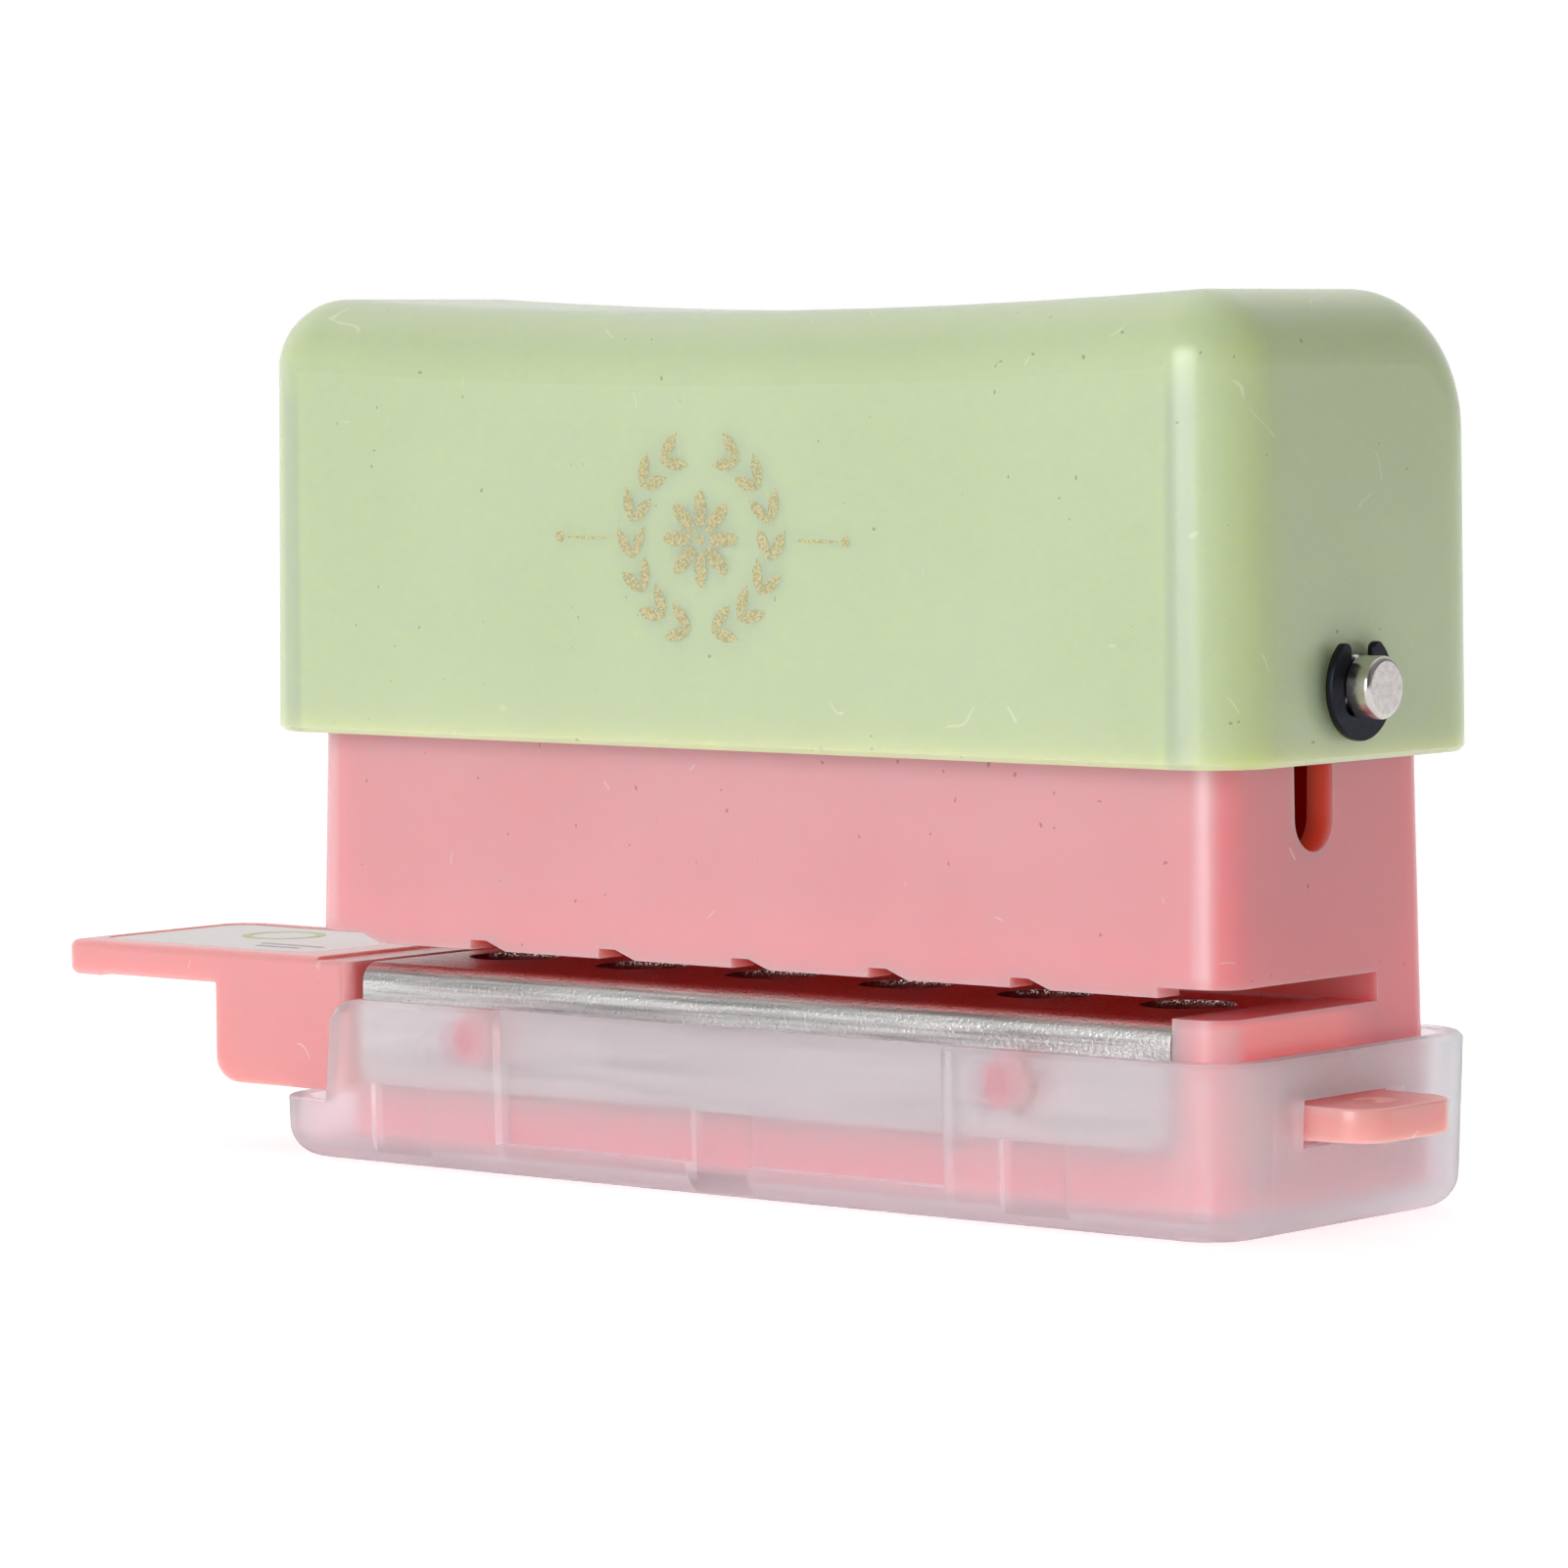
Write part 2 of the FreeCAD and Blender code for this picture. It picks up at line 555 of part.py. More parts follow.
def chip_tray():
    """Frosted tray that clips over the lower jaw and swings on the lug at its right end."""
    tray = tray_outside()
    tray = tray.cut(drafted_block(TRAY_LENGTH - 2 * TRAY_WALL, TRAY_DEPTH - 2 * TRAY_WALL,
                                  TRAY_CORNER - TRAY_WALL, 0, TRAY_FLOOR, TRAY_RIM + 1,
                                  -TRAY_DRAFT))
    tray = tray.fuse(front_slab(PANEL_X, PANEL_LENGTH, TRAY_FLOOR / 2, TRAY_RIM - TRAY_RIM_CHAMFER,
                                TRAY_WALL / 2, TRAY_WALL + PANEL_BACKING))
    tray = tray.cut(front_slab(PANEL_X, PANEL_LENGTH, TRAY_FOOT, TRAY_RIM + 1, -1, PANEL_DEPTH))
    for x, face in zip(POCKET_X, (0, PANEL_DEPTH, 0)):
        tray = tray.cut(front_slab(x, POCKET_WIDTH, -1, POCKET_TOP, -1, face + POCKET_DEPTH))
    tray = tray.cut(thumb_dish())
    tray = tray.cut(tray_step())
    window = box(0, FAR, LUG_FRONT - TRAY_LUG_GAP, LUG_BACK + TRAY_LUG_GAP,
                 LUG_BOTTOM - TRAY_LUG_GAP_BELOW, LUG_TOP + TRAY_LUG_GAP)
    return tray.cut(window).removeSplitter()


def guide_side_view():
    """Side view of the guide: thin plate on the left, deep block on the right."""
    radius = GUIDE_END_ROUND
    corner = GUIDE_BLOCK_CORNER
    bulge = 1 - math.sqrt(0.5)
    low_top = GUIDE_TOP - GUIDE_STOP_STEP
    under = GUIDE_TOP - GUIDE_PLATE
    pull = under - GUIDE_PULL_DROP
    bottom = TRAY_LOW_RIM + GUIDE_GAP
    left = GUIDE_LEFT
    block = GUIDE_RIGHT - GUIDE_BLOCK_LENGTH
    stop = GUIDE_RIGHT - GUIDE_STOP_SET_BACK
    pull_end = left + GUIDE_PULL_WIDTH

    def at(x, z):
        return Vector(x, -FAR, z)

    def line(*points):
        return [Part.LineSegment(a, b).toShape() for a, b in zip(points, points[1:])]

    edges = [Part.Arc(at(left, GUIDE_TOP - radius),
                      at(left + bulge * radius, GUIDE_TOP - bulge * radius),
                      at(left + radius, GUIDE_TOP)).toShape()]
    edges += line(at(left + radius, GUIDE_TOP), at(stop, GUIDE_TOP), at(stop, low_top),
                  at(GUIDE_RIGHT, low_top), at(GUIDE_RIGHT, bottom), at(block + corner, bottom))
    edges.append(Part.Arc(at(block + corner, bottom),
                          at(block + bulge * corner, bottom + bulge * corner),
                          at(block, bottom + corner)).toShape())
    edges += line(at(block, bottom + corner), at(block, under),
                  at(pull_end + GUIDE_PULL_DROP, under), at(pull_end, pull), at(left + radius, pull))
    edges.append(Part.Arc(at(left + radius, pull),
                          at(left + bulge * radius, pull + bulge * radius),
                          at(left, pull + radius)).toShape())
    edges += line(at(left, pull + radius), at(left, GUIDE_TOP - radius))
    return Part.Face(Part.Wire(edges)).extrude(Vector(0, 2 * FAR, 0))


def paper_guide():
    """Sliding guide: the edge of the sheet butts on its step, its tongue runs in the jaw."""
    plate_right = -half_at(BODY_LENGTH, BODY_BOTTOM, SLOT_TOP, BODY_DRAFT) - GUIDE_GAP
    under = GUIDE_TOP - GUIDE_PLATE
    wide = rounded_plate(GUIDE_LEFT, plate_right, FRONT_Y, FRONT_Y + GUIDE_PLATE_DEPTH, 0, SLOT_TOP,
                         (GUIDE_FRONT_CORNER, 0, 0, GUIDE_BACK_CORNER))
    narrow = rounded_plate(GUIDE_LEFT + GUIDE_BACK_CORNER, GUIDE_RIGHT, FRONT_Y, TONGUE_BACK,
                           0, SLOT_TOP, (0, GUIDE_END_ROUND, 0, 0))
    guide = guide_side_view().common(wide.fuse(narrow))
    guide = guide.cut(box(-FAR, plate_right, TONGUE_BACK, FAR, 0, under))
    block_left = GUIDE_RIGHT - GUIDE_BLOCK_LENGTH
    wall = GUIDE_BLOCK_WALL
    guide = guide.cut(box(block_left + wall, GUIDE_RIGHT - wall, FRONT_Y + wall,
                          TONGUE_BACK - wall, 0, under))
    recess = rounded_plate(LABEL_LEFT - LABEL_MARGIN, LABEL_LEFT + LABEL_LENGTH + LABEL_MARGIN,
                           LABEL_FRONT - LABEL_MARGIN, LABEL_FRONT + LABEL_DEPTH + LABEL_MARGIN,
                           GUIDE_TOP - LABEL_RECESS, SLOT_TOP,
                           (LABEL_CORNER + LABEL_MARGIN,) * 4)
    guide = guide.cut(recess)
    tongue = box(GUIDE_RIGHT - wall / 2, GUIDE_RIGHT + TONGUE_REACH, TONGUE_FRONT, TONGUE_BACK,
                 TONGUE_UNDER, TONGUE_TOP)
    barb_x = CHAMBER_LEFT + GUIDE_TRAVEL + GUIDE_GAP
    barb = box(barb_x, barb_x + TONGUE_BARB_LENGTH, TONGUE_FRONT, SLOT_BACK_Y + TONGUE_BARB,
               TONGUE_UNDER, TONGUE_TOP)
    return guide.fuse(tongue).fuse(barb).removeSplitter()


def guide_label():
    """Thin sticker in the recess of the guide's plate."""
    z = GUIDE_TOP - LABEL_RECESS
    return rounded_plate(LABEL_LEFT, LABEL_LEFT + LABEL_LENGTH, LABEL_FRONT,
                         LABEL_FRONT + LABEL_DEPTH, z, z + LABEL_THICKNESS, (LABEL_CORNER,) * 4)


def cross_shaft():
    """Turned pin with a clip groove and a chamfer at each end."""
    groove = clip_face() - GROOVE_PLAY
    groove_end = clip_face() + CLIP_THICKNESS + GROOVE_PLAY
    end = groove_end + SHAFT_TIP
    right_half = [
        (groove, SHAFT_R),
        (groove, GROOVE_DIAMETER / 2),
        (groove_end, GROOVE_DIAMETER / 2),
        (groove_end, SHAFT_R),
        (end - SHAFT_CHAMFER, SHAFT_R),
        (end, SHAFT_R - SHAFT_CHAMFER),
        (end, 0.0),
    ]
    profile = right_half + [(-x, r) for x, r in reversed(right_half)]
    face = flat_face([Vector(x, ROW_Y, SHAFT_Z + r) for x, r in profile])
    return face.revolve(Vector(0, ROW_Y, SHAFT_Z), Vector(1, 0, 0), 360)


def shaft_clip(side):
    """Spring clip that snaps into the groove from below, with its mouth at the top."""
    x0 = clip_face() if side > 0 else -clip_face() - CLIP_THICKNESS
    start = Vector(x0, ROW_Y, SHAFT_Z)
    end = start + Vector(CLIP_THICKNESS, 0, 0)
    grip = GROOVE_DIAMETER / 2
    clip = round_bar(CLIP_DIAMETER / 2, start, end).cut(round_bar(grip, start, end))
    half = CLIP_MOUTH / 2
    clip = clip.cut(box(x0, x0 + CLIP_THICKNESS, ROW_Y - half, ROW_Y + half, SHAFT_Z, FAR))
    tips = edges_where(clip, lambda b: b.ZMin > SHAFT_Z + CLIP_DIAMETER / 4 and b.ZLength < 0.01
                       and b.XLength > CLIP_THICKNESS / 2)
    clip = clip.makeFillet(CLIP_TIP_ROUND, tips)
    for angle in (220, 320):
        turn = math.radians(angle)
        offset = Vector(0, math.cos(turn) * grip, math.sin(turn) * grip)
        clip = clip.cut(round_bar(CLIP_RELIEF, start + offset, end + offset))
    return clip


def punch(x):
    """Round punch with a notched cutting end, hung on the shaft through a cross hole."""
    top = SHAFT_Z + PUNCH_ABOVE_SHAFT
    pin = upright_bar(PUNCH_R, x, ROW_Y, PUNCH_TIP, top)
    notch = flat_face([
        Vector(x - PUNCH_R, -FAR, PUNCH_TIP),
        Vector(x, -FAR, PUNCH_TIP + PUNCH_NOTCH),
        Vector(x + PUNCH_R, -FAR, PUNCH_TIP),
    ]).extrude(Vector(0, 2 * FAR, 0))
    eye = round_bar(SHAFT_R + SHAFT_FIT, Vector(x - PUNCH_DIAMETER, ROW_Y, SHAFT_Z),
                    Vector(x + PUNCH_DIAMETER, ROW_Y, SHAFT_Z))
    return pin.cut(notch).cut(eye)


def spring_centres(x):
    """Points along the middle of the wire, from the floor up to the underside of the shaft."""
    wire_r = SPRING_WIRE / 2
    coil_r = SPRING_DIAMETER / 2 - wire_r
    low = FLOOR_TOP + SPRING_SEAT_GAP + wire_r
    high = SHAFT_Z - SHAFT_R - SPRING_SEAT_GAP - wire_r
    steps = round(SPRING_TURNS * SPRING_STEPS)
    points = []
    for i in range(steps + 1):
        turn = 2 * math.pi * i / SPRING_STEPS
        points.append(Vector(x + coil_r * math.cos(turn), ROW_Y + coil_r * math.sin(turn),
                             low + (high - low) * i / steps))
    return points


def return_spring(x):
    """Compression spring wound in one unbroken helix round the punch."""
    sections = []
    for i, centre in enumerate(spring_centres(x)):
        turn = 2 * math.pi * i / SPRING_STEPS
        out = Vector(math.cos(turn), math.sin(turn), 0) * (SPRING_WIRE / 2)
        up = Vector(0, 0, SPRING_WIRE / 2)
        angles = [2 * math.pi * side / SPRING_SIDES for side in range(SPRING_SIDES)]
        ring = [centre + out * math.cos(a) + up * math.sin(a) for a in angles]
        sections.append(Part.makePolygon(ring + [ring[0]]))
    return Part.makeLoft(sections, True, True)


def spring_gap():
    """Least gap between neighbouring turns of a spring."""
    points = spring_centres(HOLE_X[0])
    apart = SPRING_STEPS // 2
    nearest = min(a.distanceToPoint(b) for i, a in enumerate(points) for b in points[i + apart:])
    return nearest - SPRING_WIRE


def save(name, shape):
    if len(shape.Solids) == 1:
        shape = shape.Solids[0]
    shape.exportStep(os.path.join("parts", name + ".step"))
    note = "" if shape.isValid() and len(shape.Solids) == 1 else "  CHECK THIS SOLID"
    print(f"{name}: {shape.Volume:.1f} mm3{note}")


def main():
    os.makedirs("parts", exist_ok=True)
    save("press_cover", press_cover())
    save("body_housing", body_housing())
    save("die_plate", die_plate())
    save("chip_tray", chip_tray())
    save("paper_guide", paper_guide())
    save("guide_label", guide_label())
    save("cross_shaft", cross_shaft())
    save("shaft_clip_left", shaft_clip(-1))
    save("shaft_clip_right", shaft_clip(1))
    for number, x in enumerate(HOLE_X, start=1):
        save(f"punch_{number}", punch(x))
        save(f"return_spring_{number}", return_spring(x))
    print(f"least gap between the turns of a spring: {spring_gap():.2f} mm")


main()
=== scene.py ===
# %% [markdown]
# # A palm-sized hole punch, dressed for its portrait
# The solids of the punch come from its CAD model. This notebook loads them, puts a camera where
# the photograph was taken from, and gives every moulding, pressing and pin the finish of the real
# one. All lengths are in metres; a value worked out in millimetres is multiplied by MM.

# %% Load the frame
import math
from contextlib import contextmanager

import bmesh
import bpy
from mathutils import Euler, Matrix, Vector


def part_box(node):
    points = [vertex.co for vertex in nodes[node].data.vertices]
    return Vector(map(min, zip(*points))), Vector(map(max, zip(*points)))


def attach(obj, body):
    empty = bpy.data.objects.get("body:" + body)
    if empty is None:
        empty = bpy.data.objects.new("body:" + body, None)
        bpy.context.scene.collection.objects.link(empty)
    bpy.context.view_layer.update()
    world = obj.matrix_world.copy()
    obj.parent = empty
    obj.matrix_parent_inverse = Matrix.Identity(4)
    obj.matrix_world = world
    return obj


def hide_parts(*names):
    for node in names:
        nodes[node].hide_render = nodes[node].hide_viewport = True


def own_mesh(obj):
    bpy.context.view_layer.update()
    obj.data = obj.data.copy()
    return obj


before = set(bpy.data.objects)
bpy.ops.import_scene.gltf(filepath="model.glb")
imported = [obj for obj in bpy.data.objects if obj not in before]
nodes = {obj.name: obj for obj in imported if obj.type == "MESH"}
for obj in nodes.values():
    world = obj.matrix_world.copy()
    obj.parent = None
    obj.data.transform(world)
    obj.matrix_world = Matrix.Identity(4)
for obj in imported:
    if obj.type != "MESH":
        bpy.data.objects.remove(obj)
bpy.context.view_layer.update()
MM = 0.001

# %% [markdown]
# ## Camera
# The photograph was taken from the right, a little above the table, with a long lens. A camera
# could be nudged by eye until the outlines agree, but straight edges of the punch give three
# vanishing directions and the pitch of the holes gives the scale, so its place could be worked out
# in the frame of the part.

# %% Camera
CAMERA_PLACE = Vector((229.45, -284.40, 46.18)) * MM
CAMERA_YAW = math.radians(39.48)
CAMERA_PITCH = math.radians(-3.81)
CAMERA_ROLL = math.radians(-0.394)
CAMERA_LENS = 152.82


def make_camera():
    data = bpy.data.cameras.new("portrait_camera")
    data.sensor_width = 36.0
    data.lens = CAMERA_LENS
    data.clip_start = 0.01
    data.clip_end = 10.0
    camera = bpy.data.objects.new("portrait_camera", data)
    bpy.context.scene.collection.objects.link(camera)
    aim = Euler((math.pi / 2 + CAMERA_PITCH, 0.0, CAMERA_YAW), "XYZ").to_matrix().to_4x4()
    roll = Matrix.Rotation(CAMERA_ROLL, 4, "Z")
    camera.matrix_world = Matrix.Translation(CAMERA_PLACE) @ aim @ roll
    bpy.context.scene.camera = camera
    return camera


camera = make_camera()
line_of_sight = camera.matrix_world.to_3x3() @ Vector((0, 0, -1))
print("camera looks along", [round(part, 4) for part in line_of_sight])

# %% [markdown]
# ## Shader maths in plain Python
# A material here is a small network of nodes. Wiring it by hand is tedious, so one class wraps a
# socket and lets numbers be added, multiplied and compared as in any Python expression. Most
# masks below ask whether a point lies past a plane or short of it, so those two have names.

# %% A wire with arithmetic


class Wire:
    """A value on its way through a material, with arithmetic."""

    def __init__(self, finish, socket):
        self.finish = finish
        self.socket = socket

    def _math(self, operation, *values):
        return self.finish.add("ShaderNodeMath", {"operation": operation}, list(values))

    def __add__(self, other):
        return self._math("ADD", self, other)

    def __radd__(self, other):
        return self._math("ADD", other, self)

    def __sub__(self, other):
        return self._math("SUBTRACT", self, other)

    def __rsub__(self, other):
        return self._math("SUBTRACT", other, self)

    def __mul__(self, other):
        return self._math("MULTIPLY", self, other)

    def __rmul__(self, other):
        return self._math("MULTIPLY", other, self)

    def __pow__(self, other):
        return self._math("POWER", self, other)

    def __lt__(self, other):
        return self._math("LESS_THAN", self, other)

    def __gt__(self, other):
        return self._math("GREATER_THAN", self, other)

    def abs(self):
        return self._math("ABSOLUTE", self)

    def sqrt(self):
        return self._math("SQRT", self)

    def high(self, other):
        return self._math("MAXIMUM", self, other)

    def between(self, start, end):
        """0 below start, 1 above end, straight in between."""
        settings = {"clamp": True, "interpolation_type": "LINEAR"}
        inputs = {"Value": self, "From Min": start, "From Max": end}
        return self.finish.add("ShaderNodeMapRange", settings, inputs, "Result")

    def past(self, edge, soft):
        """0 up to an edge, 1 from a soft width beyond it."""
        return (self - edge).between(0, soft)

    def short_of(self, edge, soft):
        """1 up to a soft width before an edge, 0 beyond it."""
        return (edge - self).between(0, soft)


print("a wire can:", [name for name in vars(Wire) if not name.startswith("_")])

# %% [markdown]
# ## A finish under construction
# Every material is one Principled shader with its inputs fed in turn. This class keeps the shader
# and the place of a point at hand, adds any node by its type, and mixes colours with Mix nodes,
# because a Math node would turn them grey.

# %% A finish
BLACK = (0.0, 0.0, 0.0, 1.0)


class Finish:
    """A material under construction around one Principled shader."""

    def __init__(self, name):
        self.material = bpy.data.materials.new(name)
        self.material.use_nodes = True
        self.tree = self.material.node_tree
        self.shader = self.tree.nodes["Principled BSDF"]
        self.place = self.add("ShaderNodeTexCoord", {}, [], "Object")
        self.facing = Wire(self, self.place.socket.node.outputs["Normal"])

    def add(self, kind, settings, inputs, output=0):
        """Adds a node, sets it, feeds its inputs by order or by name, and gives its output."""
        node = self.tree.nodes.new(kind)
        for name, value in settings.items():
            setattr(node, name, value)
        pairs = inputs.items() if isinstance(inputs, dict) else enumerate(inputs)
        for key, value in pairs:
            self.feed(node.inputs[key], value)
        return Wire(self, node.outputs[output])

    def feed(self, socket, value):
        if isinstance(value, Wire):
            self.tree.links.new(value.socket, socket)
        else:
            socket.default_value = value

    def set(self, **values):
        """Sets the shader's own sockets; Base_Color stands for Base Color."""
        for name, value in values.items():
            self.feed(self.shader.inputs[name.replace("_", " ")], value)
        return self

    def axes(self, vector=None):
        """The three numbers of a vector, or else of the point's place."""
        parts = self.add("ShaderNodeSeparateXYZ", {}, [vector or self.place], "X")
        outputs = parts.socket.node.outputs
        return [Wire(self, outputs[axis]) for axis in "XYZ"]

    def noise(self, scale, detail=2.0, roughness=0.5, place=None):
        inputs = {"Vector": place or self.place, "Scale": scale, "Detail": detail,
                  "Roughness": roughness}
        return self.add("ShaderNodeTexNoise", {}, inputs, 0)

    def stretch(self, x, y, z):
        """The point's place, stretched per axis, for grain with a direction."""
        return self.add("ShaderNodeVectorMath", {"operation": "MULTIPLY"}, [self.place, (x, y, z)])

    def blend(self, share, first, second):
        """Mixes two colours."""
        node = self.tree.nodes.new("ShaderNodeMix")
        node.data_type = "RGBA"
        for number, value in ((0, share), (6, first), (7, second)):
            self.feed(node.inputs[number], value)
        return Wire(self, node.outputs[2])

    def layers(self, base, layers):
        """Lays colours over a base, each where its mask is 1."""
        for share, layer in layers:
            base = self.blend(share, base, layer)
        return base

    def zones(self, tint, zones):
        """Lays tints and faint embers over a tint, each by its own mask."""
        masked = [(inside(self), zone_tint, glow) for inside, zone_tint, glow in zones]
        if masked:
            glow_here = self.layers(BLACK, [(share, glow) for share, _, glow in masked])
            self.set(Emission_Color=glow_here, Emission_Strength=1.0)
        return self.layers(tint, [(share, zone_tint) for share, zone_tint, _ in masked])

    def relief(self, height, distance, strength=1.0):
        """Feeds a height in metres times distance to the shader's normal."""
        inputs = {"Height": height, "Distance": distance, "Strength": strength}
        return self.set(Normal=self.add("ShaderNodeBump", {}, inputs, "Normal"))


print("a finish can:", [name for name in vars(Finish) if not name.startswith("_")])

# %% [markdown]
# ## Colours by the steps of a screen
# A tint is easiest to name in the 0 to 255 steps of a screen, while light adds up in linear
# numbers, so one function turns the first into the second.

# %% Colours


def colour(red, green, blue):
    """A colour given in the 0 to 255 steps of a screen, made linear."""
    def linear(step):
        share = step / 255
        return share / 12.92 if share <= 0.04045 else ((share + 0.055) / 1.055) ** 2.4
    return (linear(red), linear(green), linear(blue), 1.0)


def dimmed(tint, share):
    return tuple(part * share for part in tint[:3]) + (1.0,)


def ember(red, green, blue):
    """A faint light of its own, in linear numbers."""
    return (red, green, blue, 1.0)


def tell(*finishes):
    for finish in finishes:
        print(finish.material.name, "has", len(finish.tree.nodes), "nodes")


print("half grey on a screen is", round(colour(128, 128, 128)[0], 3), "of the light")

# %% [markdown]
# ## Moulded plastics
# The cover, the body and the guide are injection-moulded in spark-eroded moulds, which leaves a
# skin of very fine grains: a soft sheen with tiny glints. Painted textures would repeat or blur,
# so a noise of a fifth of a millimetre in the normal makes the grains. Light travels a few
# millimetres inside such plastic, so it scatters under the surface and an edge between a bright
# and a dark face glows warmer than the plastic. Handling leaves a few dark specks and pale hairs.

# %% Plastic recipe
SPECK_TINT, HAIR_TINT = colour(96, 84, 66), colour(236, 236, 220)


def wear(finish, tint):
    """A few dark specks and pale hair scratches over a tint."""
    speck = finish.noise(2300, 0.0).between(0.86, 0.88)
    line = (finish.noise(300, 0.0) - 0.5).abs().short_of(0.011, 0.007)
    hair = line * finish.noise(431, 0.0).between(0.72, 0.74)
    return finish.layers(tint, [(speck * 0.45, SPECK_TINT), (hair * 0.32, HAIR_TINT)])


def plastic(name, tint, shade, glow, depth=0.0035, zones=()):
    """Satin plastic: two close tints in large soft clouds, and grains in the normal."""
    finish = Finish(name)
    cloud = finish.noise(60, 3.0).between(0.35, 0.65)
    grain = finish.noise(5200, 2.0, 0.6)
    tint_here = wear(finish, finish.zones(finish.blend(cloud, tint, shade), zones))
    finish.set(Base_Color=tint_here, Roughness=0.24 + grain * 0.02, IOR=1.6,
               Subsurface_Weight=1.0, Subsurface_Scale=depth, Subsurface_Radius=glow)
    return finish.relief(grain, 0.000008, 0.12)


print("speck tint:", [round(part, 3) for part in SPECK_TINT[:3]])

# %% [markdown]
# ## Zones on the rounded upright edges
# Some tones belong to a place rather than to the plastic, and they are painted light. The rounded
# upright edges at the front get a more saturated tint, a painted warm shade at the turn from the
# lit front, and a narrow painted sheen runs beside each. A picture wrapped round the shape could
# hold them, but a mask worked out from a point's place stays sharp at any size. A zone is a mask,
# the tint it lays there, and a faint ember, a painted glow for light that comes back out of the
# plastic.

# %% Zones on the upright edges
CORNER_FROM = -0.0065


def on_corner(start_at, reach, above):
    """1 on the rounded upright edges at the front, fading onto the ends: painted warm shade."""
    def inside(finish):
        x, y, z = finish.axes()
        return x.abs().past(start_at, reach) * y.short_of(CORNER_FROM, 0.003) * (z > above)
    return inside


def in_the_sheen(start_at, end_at, front, above, below):
    """1 in a narrow strip where the front begins to turn into an upright edge: painted sheen."""
    def inside(finish):
        x, y, z = finish.axes()
        strip = x.abs().past(start_at, 0.0004) * x.abs().short_of(end_at, 0.0006)
        return strip * y.short_of(front, 0.0004) * z.past(above, 0.0005) * z.short_of(below, 0.003)
    return inside


# The cover's zones: a painted warm shade on its rounded edges and a painted sheen beside them.
cover_green = plastic(
    "cover_green", colour(190, 204, 166), colour(187, 201, 162), (1.0, 0.9, 0.25),
    zones=[(on_corner(0.0322, 0.0018, 0.0), colour(186, 200, 147), BLACK),
           (in_the_sheen(0.0300, 0.0320, -0.0113, 0.0, 0.0455), colour(176, 189, 161), BLACK)])
tell(cover_green)

# %% [markdown]
# ## Zones on the body's ends
# The end of the pink body faces the dim side of the tent, and a deeper tint paints its shade. The
# lower jaw there gets a painted glow from inside, and the end seen through the tray, the block
# below the slot and the strap lug get paler tints of painted light. The same kind of mask finds
# each by its heights and depths.

# %% Zones on the body's ends


def on_end(low, high):
    """1 on the body's end faces between two heights, 0 on the lug."""
    def inside(finish):
        x, y, z = finish.axes()
        level = z.past(low, 0.0003) * z.short_of(high, 0.0003)
        return x.abs().past(0.0308, 0.0006) * x.abs().short_of(0.0327, 0.0004) * level
    return inside


# Painted light: the end seen through the tray is painted paler.
def behind_the_tray(finish):
    x, y, z = finish.axes()
    return on_end(0.0, 0.0085)(finish) * (x > 0.0)


def on_jaw_end(finish):
    """1 on the end of the lower jaw, softly to 0 behind the paper slot: a painted glow."""
    x, y, z = finish.axes()
    return on_end(0.009, 0.0113)(finish) * y.short_of(0.0042, 0.004)


# Painted light: the block below the slot is painted paler.
def on_jaw_block(finish):
    x, y, z = finish.axes()
    return x.past(0.0285, 0.0002) * y.short_of(-0.0075, 0.001) * z.short_of(0.0112, 0.0004)


# Painted light: the strap lug is painted paler, as light shines through it.
def on_strap_lug(finish):
    x, y, z = finish.axes()
    return x.past(0.0326, 0.0004)


# Painted shade on the end faces, painted light on the rest, and a painted glow on the jaw's end.
end_zones = [(on_end(0.0, 0.1), colour(234, 137, 143), BLACK),
             (behind_the_tray, colour(238, 164, 168), BLACK),
             (on_jaw_end, colour(236, 141, 145), ember(0.19, 0.028, 0.022)),
             (on_jaw_block, colour(244, 170, 174), BLACK),
             (on_strap_lug, colour(234, 161, 158), BLACK)]
print("zones on the ends:", len(end_zones))

# %% [markdown]
# ## Zones in the body's slots
# In the paper slot and the shaft's upright slot, light has gone through the pink wall and comes
# out a deep red. Scattering alone makes it too weak at this size, so the masks paint it: a deeper
# tint and a red painted glow in the paper slot, painted shade on the walls of the hollow and the
# front half of the shaft's slot, and painted light with a red glow on its back half. The slot's
# ends lean by one degree, which the mask follows.

# %% Zones in the slots
SHAFT_Y = -0.00133
SLOT_CEILING = 0.0129
END_AT_CEILING, DRAFT = 0.032, 0.01746


def in_paper_slot(finish):
    """1 deep inside the paper slot, softly to 0 at its open ends."""
    x, y, z = finish.axes()
    level = z.past(0.01125, 0.0002) * z.short_of(0.013, 0.0002)
    return level * y.past(-0.0094, 0.0016) * x.abs().short_of(0.0319, 0.006) * (y < 0.0045)


def in_the_hollow(finish):
    """1 on the walls inside the upper body, seen only through the shaft's slot: painted shade."""
    x, y, z = finish.axes()
    return x.abs().short_of(0.0308, 0.0002) * y.abs().short_of(0.0083, 0.0002) * (z > 0.0135)


def in_shaft_slot(back):
    """1 on the front half or the back half of the shaft's slot, 0 elsewhere."""
    def inside(finish):
        x, y, z = finish.axes()
        across = y - SHAFT_Y
        half = across.between(-0.0002, 0.0002)
        end_face = END_AT_CEILING - (z - SLOT_CEILING) * DRAFT
        within = (end_face - x.abs()).between(0.00003, 0.0006)
        slot = z.past(0.0185, 0.0003) * across.abs().short_of(0.0018, 0.00005) * within
        return slot * (half if back else 1.0 - half)
    return inside


